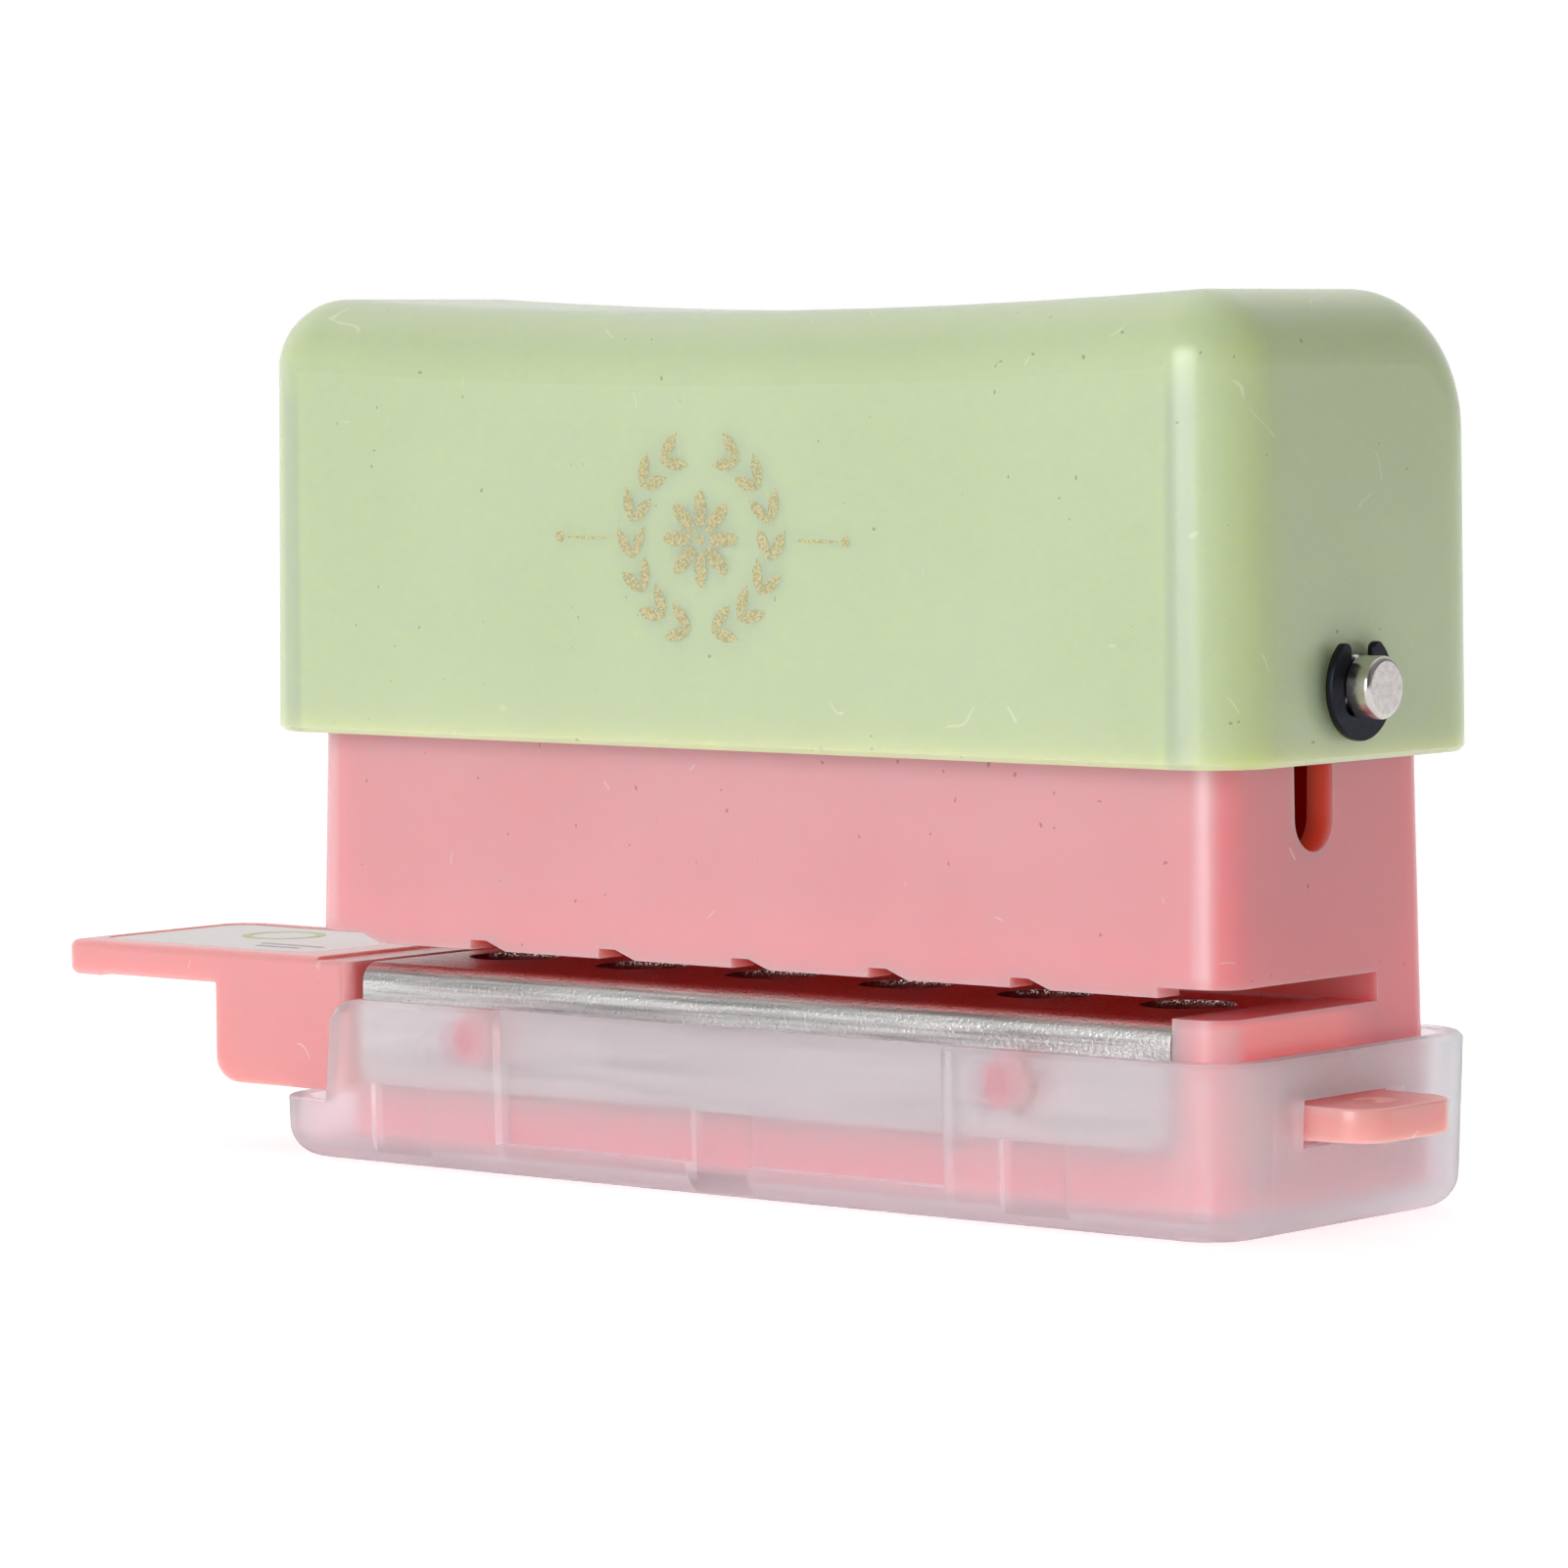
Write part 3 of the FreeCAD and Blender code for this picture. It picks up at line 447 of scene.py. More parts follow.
# Painted glow in the paper slot, painted shade in the hollow and the slot's front half, painted
# light on its back half.
slot_zones = [(in_paper_slot, colour(226, 96, 92), ember(0.06, 0.004, 0.002)),
              (in_the_hollow, colour(146, 66, 58), BLACK),
              (in_shaft_slot(False), colour(140, 52, 42), ember(0.045, 0.004, 0.002)),
              (in_shaft_slot(True), colour(232, 106, 90), ember(0.12, 0.008, 0.003))]
print("zones in the slots:", len(slot_zones))

# %% [markdown]
# ## The two pinks
# The body takes all its zones, from the widest to the narrowest, because a later zone covers an
# earlier one. The guide is moulded in a paler pink and is too thin to need any.

# %% The two pinks
# The body's zones paint a warm shade and a sheen on its rounded edges, and shade, light and glow
# on its ends and in its slots.
body_pink = plastic(
    "body_pink", colour(235, 158, 163), colour(232, 153, 158), (1.0, 0.4, 0.3), depth=0.005,
    zones=[(on_corner(0.0306, 0.001, 0.0129), colour(233, 150, 154), BLACK),
           (in_the_sheen(0.0297, 0.0316, -0.0086, 0.0131, 0.05), colour(231, 169, 175), BLACK),
           *end_zones, *slot_zones])
guide_pink = plastic("guide_pink", colour(225, 156, 158), colour(222, 152, 153), (1.0, 0.4, 0.3))
tell(body_pink, guide_pink)

# %% [markdown]
# ## Frosted tray
# The chip tray is natural polypropylene with a frosted skin. Light passes through it but comes
# out blurred, so the plate's flange and the pink bosses show as soft shapes. A rough transmission
# with a low index and a milky scatter under the surface does that, and a painted pink glow of the
# body lies low down on the wall and in front of the bosses. Small steps in such a wall catch the
# light, so the edges of its panel, pockets and window and the bands between its ribs get a faint
# painted light of their own, found by place and by the way the wall faces.

# %% Light on the tray's panel and bands
BOSS_X, BOSS_Z = 0.0187, 0.00745
PANEL_FACE = -0.0109
RIB_HEIGHT, RIM_HEIGHT = 0.0049, 0.0095
BANDS = ((-0.0156, RIM_HEIGHT), (0.0160, RIM_HEIGHT), (-0.0250, RIB_HEIGHT),
         (-0.0019, RIB_HEIGHT), (0.0195, RIB_HEIGHT))


def over_the_bosses(finish):
    """1 on the wall in front of the body's two round bosses, painted with their pink glow."""
    x, y, z = finish.axes()
    from_boss = ((x.abs() - BOSS_X) ** 2 + (z - BOSS_Z) ** 2).sqrt()
    return from_boss.short_of(0.0016, 0.0006) * y.short_of(-0.0100, 0.0003)


def on_panel_edges(finish):
    x, y, z = finish.axes()
    side, front, top = finish.axes(finish.facing)
    edge = side.abs().high(top.abs()).between(0.35, 0.8) * y.short_of(PANEL_FACE, 0.0001)
    return edge * x.abs().short_of(0.0325, 0.0005) * z.past(0.0008, 0.0003) * (
        z.short_of(0.0086, 0.0003))


def on_bands(finish):
    """1 on the upright bands between the ribs and on the short bar at the middle."""
    x, y, z = finish.axes()
    band = (z - RIB_HEIGHT).abs().short_of(0.0003, 0.0002) * x.abs().short_of(0.0021, 0.0002)
    for band_x, band_top in BANDS:
        upright = (x - band_x).abs().short_of(0.00042, 0.0003) * z.short_of(band_top, 0.0002)
        band = band.high(upright)
    return band * y.short_of(PANEL_FACE, 0.0001) * z.past(0.0008, 0.0005)


print("bands:", len(BANDS))

# %% [markdown]
# ## The tray's right end
# The end wall is thicker and gets a pale bluish painted glow, a fine parting line of the mould
# runs up it with a painted highlight, and the window for the strap lug gets painted bright rims.

# %% Light on the tray's end


def on_end_wall(finish):
    x, y, z = finish.axes()
    side, front, top = finish.axes(finish.facing)
    return x.past(0.0325, 0.0012) * side.between(0.3, 0.8)


def on_parting_line(finish):
    x, y, z = finish.axes()
    line = (y + 0.00795).abs().short_of(0.00011, 0.00007) * on_end_wall(finish)
    return line * (z.past(0.0012, 0.0003) * z.short_of(0.0085, 0.0003))


def on_window_edges(finish):
    x, y, z = finish.axes()
    side, front, top = finish.axes(finish.facing)
    edge = front.abs().high(top.abs()).between(0.8, 0.95) * x.past(0.0329, 0.0002)
    return edge * y.abs().short_of(0.0085, 0.0005) * z.past(0.004, 0.0002) * (
        z.short_of(0.0080, 0.0002))


def frosted():
    """Rough clear milky wall; low down and over the bosses, a painted pink glow of the body."""
    finish = Finish("tray_frosted")
    x, y, z = finish.axes()
    cloud = finish.noise(90, 3.0).between(0.3, 0.7)
    clear = finish.blend(cloud, colour(255, 248, 252), colour(252, 244, 249))
    # Painted glow of the pink body, low down and in front of the bosses.
    milk_and_glow = finish.layers(clear, [(z.short_of(0.0048, 0.003), colour(255, 238, 244)),
                                 (over_the_bosses(finish), colour(250, 226, 233))])
    # Painted light: a pale glow on the end wall, a highlight on the parting line, lit bands, panel
    # edges and window rims.
    glow = finish.layers(BLACK, [(on_end_wall(finish), ember(0.0, 0.06, 0.06)),
                                 (on_parting_line(finish), ember(0.1, 0.13, 0.13)),
                                 (on_bands(finish), ember(0.06, 0.066, 0.068)),
                                 (on_panel_edges(finish), ember(0.13, 0.12, 0.125)),
                                 (on_window_edges(finish), ember(0.09, 0.06, 0.06))])
    return finish.set(Base_Color=milk_and_glow, Roughness=0.52 + cloud * 0.04, IOR=1.22,
                      Emission_Color=glow, Emission_Strength=1.0, Transmission_Weight=0.8,
                      Subsurface_Weight=1.0, Subsurface_Scale=0.004,
                      Subsurface_Radius=(1.0, 0.85, 0.85))


tray_frosted = frosted()
tell(tray_frosted)

# %% [markdown]
# ## Metals
# The plate is rolled steel with a satin skin, the shaft is nickel-plated, and the clips carry a
# black oxide. Punches and springs are plain ground steel. A metal is nearly all reflection, so its
# grain goes into the roughness and the normal and only a little into the tint.

# %% Metal recipe


def metal(name, tint, rough, streak=(1, 1, 1), grain_size=4000, depth=0.00001, zones=()):
    finish = Finish(name)
    grain = finish.noise(grain_size, 3.0, 0.6, finish.stretch(*streak))
    uneven = grain.between(0.3, 0.7)
    tint_here = finish.zones(finish.blend(uneven, tint, dimmed(tint, 0.9)), zones)
    finish.set(Base_Color=tint_here, Roughness=rough + uneven * 0.12, Metallic=1.0)
    return finish.relief(grain, depth, 0.6)


shaft_nickel = metal("shaft_nickel", colour(208, 202, 199), 0.16, (1, 1, 1), 2500)
punch_steel = metal("punch_steel", colour(190, 190, 193), 0.3)
spring_steel = metal("spring_steel", colour(170, 170, 176), 0.35)
clip_black = metal("clip_black", colour(44, 46, 54), 0.38, (1, 1, 1), 3000)
tell(shaft_nickel, punch_steel, spring_steel, clip_black)

# %% [markdown]
# ## Zones of the plate
# The rolls leave dull lines along the plate. Under the jaw a painted reflection lays the red of
# the slot on it, the walls of its holes get a painted shade, and painted glints sparkle high on
# the back of each wall, where the sheet was torn in punching. Lines come from a noise that is
# stretched along the plate, glints from a fine one.

# %% Zones of the plate
SHEET_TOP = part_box("die_plate")[1].z


def rolled_lines(finish):
    return finish.noise(2400, 2.0, 0.6, finish.stretch(0.03, 1.0, 1.0)).between(0.42, 0.75)


# Painted reflection: the red of the slot, with a faint painted glow, on the plate's top.
def under_the_jaw(finish):
    """1 on the plate's flat top in the paper slot, 0 on its bend and at its bare left end."""
    x, y, z = finish.axes()
    side, front, top = finish.axes(finish.facing)
    return y.past(-0.0095, 0.0015) * z.past(0.0100, 0.0005) * x.past(-0.027, 0.006) * (
        top.between(0.93, 0.99))


# Painted shade: the walls of the holes are darkened.
def in_the_holes(finish):
    x, y, z = finish.axes()
    side, front, top = finish.axes(finish.facing)
    return y.past(-0.0086, 0.0003) * top.abs().short_of(0.3, 0.1)


def glints_on_torn_walls(finish):
    """Painted glints high on the torn back wall of a die hole."""
    x, y, z = finish.axes()
    side, front, top = finish.axes(finish.facing)
    wall = in_the_holes(finish) * z.past(SHEET_TOP - 0.0003, 0.0002) * front.short_of(-0.2, 0.5)
    return wall * finish.noise(9000, 1.0).between(0.52, 0.66)


plate_steel = metal("plate_steel", colour(231, 231, 230), 0.25, (0.6, 1, 1), 6800, 0.00013,
                    zones=[(rolled_lines, colour(150, 147, 146), BLACK),
                           (under_the_jaw, colour(205, 100, 94), ember(0.015, 0.001, 0.001)),
                           (in_the_holes, colour(116, 62, 58), BLACK),
                           (glints_on_torn_walls, colour(230, 226, 224), ember(0.5, 0.44, 0.42))])
tell(plate_steel)

# %% [markdown]
# ## Inks and paper
# The label is coated paper, and its marks are printed on it. The gold print is a hot-stamped foil
# with a broken, glittering skin: a fine noise decides grain by grain between bright foil and
# duller foil that lets the plastic show through.

# %% Inks and paper


def paper(name, tint):
    finish = Finish(name)
    fibre = finish.noise(1500, 3.0, 0.6)
    uneven = fibre.between(0.3, 0.7)
    finish.set(Base_Color=finish.blend(uneven, tint, dimmed(tint, 0.95)),
               Roughness=0.42 + fibre * 0.1)
    return finish.relief(fibre, 0.00001, 0.4)


def foil(name, bright, dull):
    finish = Finish(name)
    flake = finish.noise(9000, 1.0, 0.5)
    share = flake.between(0.42, 0.58)
    finish.set(Base_Color=finish.blend(share, dull, bright), Roughness=0.55 - share * 0.25,
               Metallic=0.3 + share * 0.3, Alpha=0.5 + share * 0.3)
    return finish.relief(flake, 0.00004, 0.6)


label_white = paper("label_white", colour(236, 232, 232))
ring_green = paper("ring_green", colour(196, 206, 150))
bar_grey = paper("bar_grey", colour(176, 176, 178))
print_gold = foil("print_gold", colour(222, 206, 168), colour(184, 172, 130))
tell(label_white, ring_green, bar_grey, print_gold)

# %% [markdown]
# ## Dress the solids
# Each solid of the CAD model gets the finish of its material. Those whose edges are soft enough
# stay as they are; the rest are replaced piece by piece further down.

# %% Dress the solids
FINISHES = {"press_cover": cover_green, "body_housing": body_pink, "paper_guide": guide_pink,
            "chip_tray": tray_frosted, "die_plate": plate_steel, "cross_shaft": shaft_nickel,
            "shaft_clip_left": clip_black, "shaft_clip_right": clip_black,
            "guide_label": label_white}


def finish_of(name):
    if name.startswith("punch_"):
        return punch_steel
    if name.startswith("return_spring_"):
        return spring_steel
    return FINISHES[name]


for name, node in nodes.items():
    node.data.materials.clear()
    node.data.materials.append(finish_of(name).material)
print("dressed:", ", ".join(sorted(nodes)))

# %% [markdown]
# ## Working by hand, in code
# Most pieces below are shaped the way they would be on screen: a primitive or a merged copy of a
# solid goes into edit mode, some of its faces, edges or corners are picked by their place, and an
# operator works on the selection. These helpers open a piece and do the picking.

# %% Opening and picking
SHARP = math.radians(30)


def select_only(*pieces):
    bpy.ops.object.select_all(action="DESELECT")
    for piece in pieces:
        piece.select_set(True)
    bpy.context.view_layer.objects.active = pieces[0]


@contextmanager
def editing(piece):
    """Opens a piece in edit mode with nothing selected, and closes it again."""
    select_only(piece)
    bpy.ops.object.mode_set(mode="EDIT")
    bpy.ops.mesh.select_all(action="DESELECT")
    yield
    bpy.ops.object.mode_set(mode="OBJECT")


def pick(piece, kind, test):
    """Selects the VERT, EDGE or FACE elements that pass a test, and counts them."""
    bpy.ops.mesh.select_mode(type=kind)
    mesh = bmesh.from_edit_mesh(piece.data)
    elements = {"VERT": mesh.verts, "EDGE": mesh.edges, "FACE": mesh.faces}[kind]
    for element in elements:
        element.select_set(bool(test(element)))
    bmesh.update_edit_mesh(piece.data)
    return sum(element.select for element in elements)


def pick_faces(piece, test):
    """Selects the faces whose middle (mm) and normal pass the test."""
    return pick(piece, "FACE", lambda face: test(face.calc_center_median() / MM, face.normal))


def pick_edges(piece, test):
    """Selects the sharp edges whose two ends (mm) pass the test."""
    def sharp_and_in(edge):
        sharp = len(edge.link_faces) == 2 and edge.calc_face_angle() > SHARP
        return sharp and all(test(vert.co / MM) for vert in edge.verts)
    return pick(piece, "EDGE", sharp_and_in)


def pick_verts(piece, test):
    """Selects the vertices whose place (mm) passes the test."""
    return pick(piece, "VERT", lambda vert: test(vert.co / MM))


print("an edge is sharp above", round(math.degrees(SHARP)), "degrees")

# %% [markdown]
# ## From a solid to a finished piece
# A solid arrives as loose triangles. Its copy is merged first, so that it has real edges, and
# those can be rounded with a bevel. At the end a piece is shaded so that flat faces stay flat and
# only the new small radii turn the light.

# %% Starting and finishing a piece
FLAT_BELOW = math.radians(32)


def start(name, primitive, **sizes):
    """Adds a primitive, names it and puts its place into its mesh."""
    bpy.ops.object.select_all(action="DESELECT")
    primitive(**sizes)
    piece = bpy.context.object
    piece.name = piece.data.name = name
    bpy.ops.object.transform_apply(location=True, rotation=True, scale=True)
    return piece


def merged_copy(node_name, name):
    """A copy of a solid whose loose triangles are joined and whose flat faces are whole."""
    piece = bpy.data.objects.new(name, nodes[node_name].data.copy())
    piece.data.name = name
    bpy.context.scene.collection.objects.link(piece)
    select_only(piece)
    bpy.ops.mesh.customdata_custom_splitnormals_clear()
    with editing(piece):
        bpy.ops.mesh.select_all(action="SELECT")
        bpy.ops.mesh.remove_doubles(threshold=0.001 * MM)
        bpy.ops.mesh.dissolve_limited(angle_limit=math.radians(0.5))
    return piece


def round_edges(piece, radius, segments, test):
    """Rounds the picked sharp edges, and counts them."""
    with editing(piece):
        count = pick_edges(piece, test)
        bpy.ops.mesh.bevel(offset=radius * MM, offset_type="OFFSET", segments=segments,
                           affect="EDGES", clamp_overlap=True)
    return count


def apply_modifier(piece, kind, **settings):
    """Adds a modifier to the active piece, sets it and applies it."""
    bpy.ops.object.modifier_add(type=kind)
    modifier = piece.modifiers[-1]
    for name, value in settings.items():
        setattr(modifier, name, value)
    bpy.ops.object.modifier_apply(modifier=modifier.name)


def install(piece, finish, slot, body, *stands_for):
    """Shades a piece and gives it its finish and its place in the assembly."""
    select_only(piece)
    bpy.ops.object.transform_apply(location=True, rotation=True, scale=True)
    bpy.ops.object.shade_smooth_by_angle(angle=FLAT_BELOW)
    apply_modifier(piece, "WEIGHTED_NORMAL", keep_sharp=True)
    piece.data.materials.clear()
    piece.data.materials.append(finish.material)
    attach(piece, body)
    if stands_for:
        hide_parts(*stands_for)
    print(piece.name, "rides on", body, "with", len(piece.data.polygons), "faces")
    return piece


print("edges are shaded smooth below", round(math.degrees(FLAT_BELOW)), "degrees")

# %% [markdown]
# ## Body moulding
# A mould is never razor sharp: every outer edge of the pink body is broken by a small radius that
# catches the light. A bevel on all edges at once would be even and lifeless, so they are rounded
# in groups, each with the radius seen on the real moulding. The block at the right end of the
# lower jaw is the softest.

# %% Body moulding
body = merged_copy("body_housing", "body_moulding")
die_low, die_high = (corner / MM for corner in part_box("die_plate"))
SLOT_TOP, SLOT_BOTTOM, LIP_LOW = 12.9, 11.35, 12.35


def jaw_block_edge(place):
    return place.x > die_high.x + 0.05 and place.y < -8.0 and 4.0 < place.z < SLOT_BOTTOM + 0.05


def slot_mouth_edge(place):
    return place.y < -9.0 and LIP_LOW - 0.05 < place.z < SLOT_TOP + 0.05


def lug_edge(place):
    return place.x > 32.4 and 4.9 < place.z < 6.9


print("jaw block:", round_edges(body, 0.45, 4, jaw_block_edge))
print("slot mouth:", round_edges(body, 0.12, 3, slot_mouth_edge))
print("lug:", round_edges(body, 0.38, 4, lug_edge))
install(body, body_pink, "body_pink", "body", "body_housing")

# %% [markdown]
# ## Folded plate
# The die plate is punched out of sheet and folded. Punching leaves a rolled edge on one side, so
# the rims of the die holes and the ends of the sheet are rounded a little. The two holes round the
# body's bosses are drawn in until they only just clear them.

# %% Folded plate
BOSS_HOLE_SHARE = 0.82
plate = merged_copy("die_plate", "folded_plate")


def hole_rim(place):
    return place.z > die_high.z - 0.02 and place.y < 2.0 and (
        die_low.x + 0.5 < place.x < die_high.x - 0.5)


def flange_edge(place):
    return place.z < 5.6 and place.y < -9.4


def draw_in_boss_hole(middle):
    """Scales the rim of the hole round a boss towards the boss's middle."""
    with editing(plate):
        ring = pick_verts(plate, lambda place: 1.7 < math.hypot(
            place.x - middle.x / MM, place.z - middle.z / MM) < 2.1)
        bpy.ops.transform.resize(value=(BOSS_HOLE_SHARE, 1, BOSS_HOLE_SHARE),
                                 center_override=middle)
    return ring


print("hole rims:", round_edges(plate, 0.16, 3, hole_rim))
print("flange edge:", round_edges(plate, 0.12, 2, flange_edge))
for side in (-1, 1):
    print("boss hole ring:", draw_in_boss_hole(Vector((side * BOSS_X, 0, BOSS_Z))))
install(plate, plate_steel, "plate_steel", "body", "die_plate")

# %% [markdown]
# ## Frosted tray
# The tray is the one piece that shows its inside. The edges of its panel and pockets at the front
# are rounded with small radii, because a sharp step in a frosted wall would show no bright line at
# all.

# %% Tray shell
tray = merged_copy("chip_tray", "tray_shell")
print("tray panel:", round_edges(tray, 0.14, 2, lambda place: place.y < -9.0 and place.z > 0.5))
install(tray, tray_frosted, "tray_frosted", "tray", "chip_tray")

# %% [markdown]
# ## A block with a soft outline
# The paper guide is a plate with a deep block under its outer end. A hand rubs against that end,
# so its outline is rounded all the way round. Bevels on the moulding itself would meet badly at
# its step, so the outline is made on plain blocks first: two upright corners with a large radius,
# and then every edge that is still sharp with a small one.

# %% Soft block
OUTLINE_STEPS = 6


def soft_block(name, low, high, front_corner, back_corner, radius):
    """A box with its two left upright edges rounded, and then every edge left sharp."""
    def front_left(place):
        return place.x < low.x + 0.01 and place.y < low.y + 0.01

    def back_left(place):
        return place.x < low.x + 0.01 and place.y > high.y - 0.01

    block = start(name, bpy.ops.mesh.primitive_cube_add, size=MM,
                  location=(low + high) / 2 * MM, scale=high - low)
    for corner, test in ((front_corner, front_left), (back_corner, back_left),
                         (radius, lambda place: True)):
        with editing(block):
            pick_edges(block, test)
            bpy.ops.mesh.bevel(offset=corner * MM, segments=OUTLINE_STEPS, affect="EDGES",
                               clamp_overlap=False)
    return block


def combine(piece, other, operation):
    """Joins a piece with another, or keeps what they share, and drops the other."""
    select_only(piece)
    apply_modifier(piece, "BOOLEAN", operation=operation, solver="EXACT", object=other)
    bpy.data.objects.remove(other)


print("outline steps:", OUTLINE_STEPS)

# %% [markdown]
# ## Paper guide
# One soft block stands for the plate and one for the block under it, and they are joined. What
# the guide's solid and this soft form have in common is the moulding: its step, pocket and tongue
# come from the solid, its outline from the blocks. A hair's width keeps their faces apart, because
# a Boolean is unsure about faces that lie in each other.

# %% Paper guide
guide = merged_copy("paper_guide", "guide_moulding")
guide_low, guide_high = (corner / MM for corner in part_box("paper_guide"))
PLATE_TOP, PLATE_UNDER, PLATE_BACK = 11.3, 9.22, 5.5
BLOCK_LEFT = guide_low.x + 12.2
FAR_RIGHT = 60
HAIR = 0.005

soft_form = soft_block("soft_form", Vector((guide_low.x + HAIR, guide_low.y + HAIR, PLATE_UNDER)),
                       Vector((FAR_RIGHT, PLATE_BACK - HAIR, PLATE_TOP - HAIR)), 1.0, 3.0, 0.5)
soft_under = soft_block("soft_under",
                        Vector((BLOCK_LEFT + HAIR, guide_low.y + HAIR, guide_low.z - 2)),
                        Vector((FAR_RIGHT, PLATE_BACK - HAIR, PLATE_TOP - 0.8)), 0.35, 0.35, 0.3)
combine(soft_form, soft_under, "UNION")
combine(guide, soft_form, "INTERSECT")
install(guide, guide_pink, "guide_pink", "guide", "paper_guide")

# %% [markdown]
# ## Shaft clips
# A spring clip is stamped from sheet and tumbled, which rounds its rims. The solid already has the
# prongs, so its copy only needs a small bevel on every sharp edge.

# %% Shaft clips
for side in ("left", "right"):
    clip = merged_copy(f"shaft_clip_{side}", f"clip_ring_{side}")
    round_edges(clip, 0.07, 2, lambda place: True)
    install(clip, clip_black, "clip_black", "cover", f"shaft_clip_{side}")

# %% [markdown]
# ## Cross shaft
# The shaft is turned from bar: a groove near each end takes a clip, and the rims are rounded by
# the tool. A cylinder is cut into rings, the groove rings are pressed inwards, and the end rims
# get a bevel of several steps, which is what a lathe leaves.

# %% Cross shaft
shaft_low, shaft_high = (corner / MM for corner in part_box("cross_shaft"))
SHAFT_MIDDLE = (shaft_low + shaft_high) / 2
SHAFT_RADIUS = (shaft_high.z - shaft_low.z) / 2
GROOVE_RADIUS = 1.15
clip_low, clip_high = (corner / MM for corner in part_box("shaft_clip_right"))
GROOVE = (clip_low.x - 0.05, clip_high.x + 0.05)


def in_a_groove(place, normal):
    return GROOVE[0] < abs(place.x) < GROOVE[1] and abs(normal.x) < 0.5


pin = start("shaft_pin", bpy.ops.mesh.primitive_cylinder_add, vertices=64,
            radius=SHAFT_RADIUS * MM, depth=(shaft_high.x - shaft_low.x) * MM,
            location=SHAFT_MIDDLE * MM, rotation=(0, math.pi / 2, 0))
with editing(pin):
    for x in (-GROOVE[1], -GROOVE[0], *GROOVE):
        bpy.ops.mesh.select_all(action="SELECT")
        bpy.ops.mesh.bisect(plane_co=(x * MM, 0, 0), plane_no=(1, 0, 0))
with editing(pin):
    pick_faces(pin, in_a_groove)
    bpy.ops.mesh.extrude_region_move()
    share = GROOVE_RADIUS / SHAFT_RADIUS
    bpy.ops.transform.resize(value=(1, share, share), center_override=SHAFT_MIDDLE * MM)
print("end rims:", round_edges(pin, 0.3, 6, lambda place: abs(place.x) > shaft_high.x - 0.01))
install(pin, shaft_nickel, "shaft_nickel", "cover", "cross_shaft")

# %% [markdown]
# ## Return springs
# A coil is one section of wire carried round and up, so a circle and a Screw modifier make it,
# and its two ends are filled. The springs close up when the cover goes down.

# %% Winding a coil
SPRING_WIRE = 0.25
SPRING_TURNS = 3.5
STEPS_A_TURN = 96


def wind(name, radius, rise):
    """A coil (mm) of round wire about the Z axis, with its ends closed."""
    wire = start(name, bpy.ops.mesh.primitive_circle_add, vertices=12, radius=SPRING_WIRE * MM,
                 rotation=(math.pi / 2, 0, 0))
    with editing(wire):
        bpy.ops.mesh.select_all(action="SELECT")
        bpy.ops.transform.translate(value=(radius * MM, 0, 0))
    apply_modifier(wire, "SCREW", angle=SPRING_TURNS * 2 * math.pi, screw_offset=rise * MM,
                   steps=STEPS_A_TURN, render_steps=STEPS_A_TURN, use_normal_calculate=True)
    with editing(wire):
        bpy.ops.mesh.select_mode(type="EDGE")
        bpy.ops.mesh.select_non_manifold()
        bpy.ops.mesh.fill()
        bpy.ops.mesh.select_all(action="SELECT")
        bpy.ops.mesh.normals_make_consistent(inside=False)
    return wire


print("wire", 2 * SPRING_WIRE, "mm thick,", SPRING_TURNS, "turns")

# %% [markdown]
# ## Six springs
# Each spring stands where its solid stands, so its radius, rise and place are read from the
# solid's box.

# %% Return springs
for number in range(1, 7):
    low, high = (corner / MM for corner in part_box(f"return_spring_{number}"))
    middle = (low + high) / 2
    wire = wind(f"coil_{number}", (high.x - low.x) / 2 - SPRING_WIRE,
                high.z - low.z - 2 * SPRING_WIRE)
    wire.location = Vector((middle.x, middle.y, low.z + SPRING_WIRE)) * MM
    install(wire, spring_steel, "spring_steel", "body", f"return_spring_{number}")
    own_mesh(wire)

# %% [markdown]
# ## Shapes for a print
# The front of the cover carries a small gold print. It could be a picture on the surface, but
# shapes of their own stay crisp close up. A leaf, a petal, a dot and a rule are modelled once
# each, as flat circles that are stretched and drawn to a point, and every mark of the print is a
# copy of one of them.

# %% Shapes for a print
PRINT_MIDDLE = Vector((-0.6, 0.0, 35.6))
PRINT_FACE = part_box("press_cover")[0].y / MM
PRINT_FILM = 0.03


def flat_shape(name, half_width, half_height, point=0.0):
    """A flat round shape that faces the front; point draws its two ends out."""
    shape = start(name, bpy.ops.mesh.primitive_circle_add, vertices=16, radius=MM,
                  fill_type="NGON", rotation=(math.pi / 2, 0, 0))
    with editing(shape):
        bpy.ops.mesh.select_all(action="SELECT")
        bpy.ops.transform.resize(value=(half_width, 1, half_height))
        pick_verts(shape, lambda place: abs(place.z) > 0.98 * half_height)
        bpy.ops.transform.resize(value=(1, 1, 1 + point))
    return shape


def stamp(shape, right, up, turn=0.0):
    """A copy of a flat shape, turned on the front and moved to its place in the print (mm)."""
    copy = bpy.data.objects.new(shape.name, shape.data.copy())
    bpy.context.scene.collection.objects.link(copy)
    place = PRINT_MIDDLE + Vector((right, PRINT_FACE + PRINT_FILM / 2, up))
    copy.data.transform(Matrix.Translation(place * MM) @ Matrix.Rotation(turn, 4, "Y"))
    return copy


def joined(name, shapes):
    select_only(*shapes)
    bpy.ops.object.join()
    piece = bpy.context.object
    piece.name = piece.data.name = name
    return piece


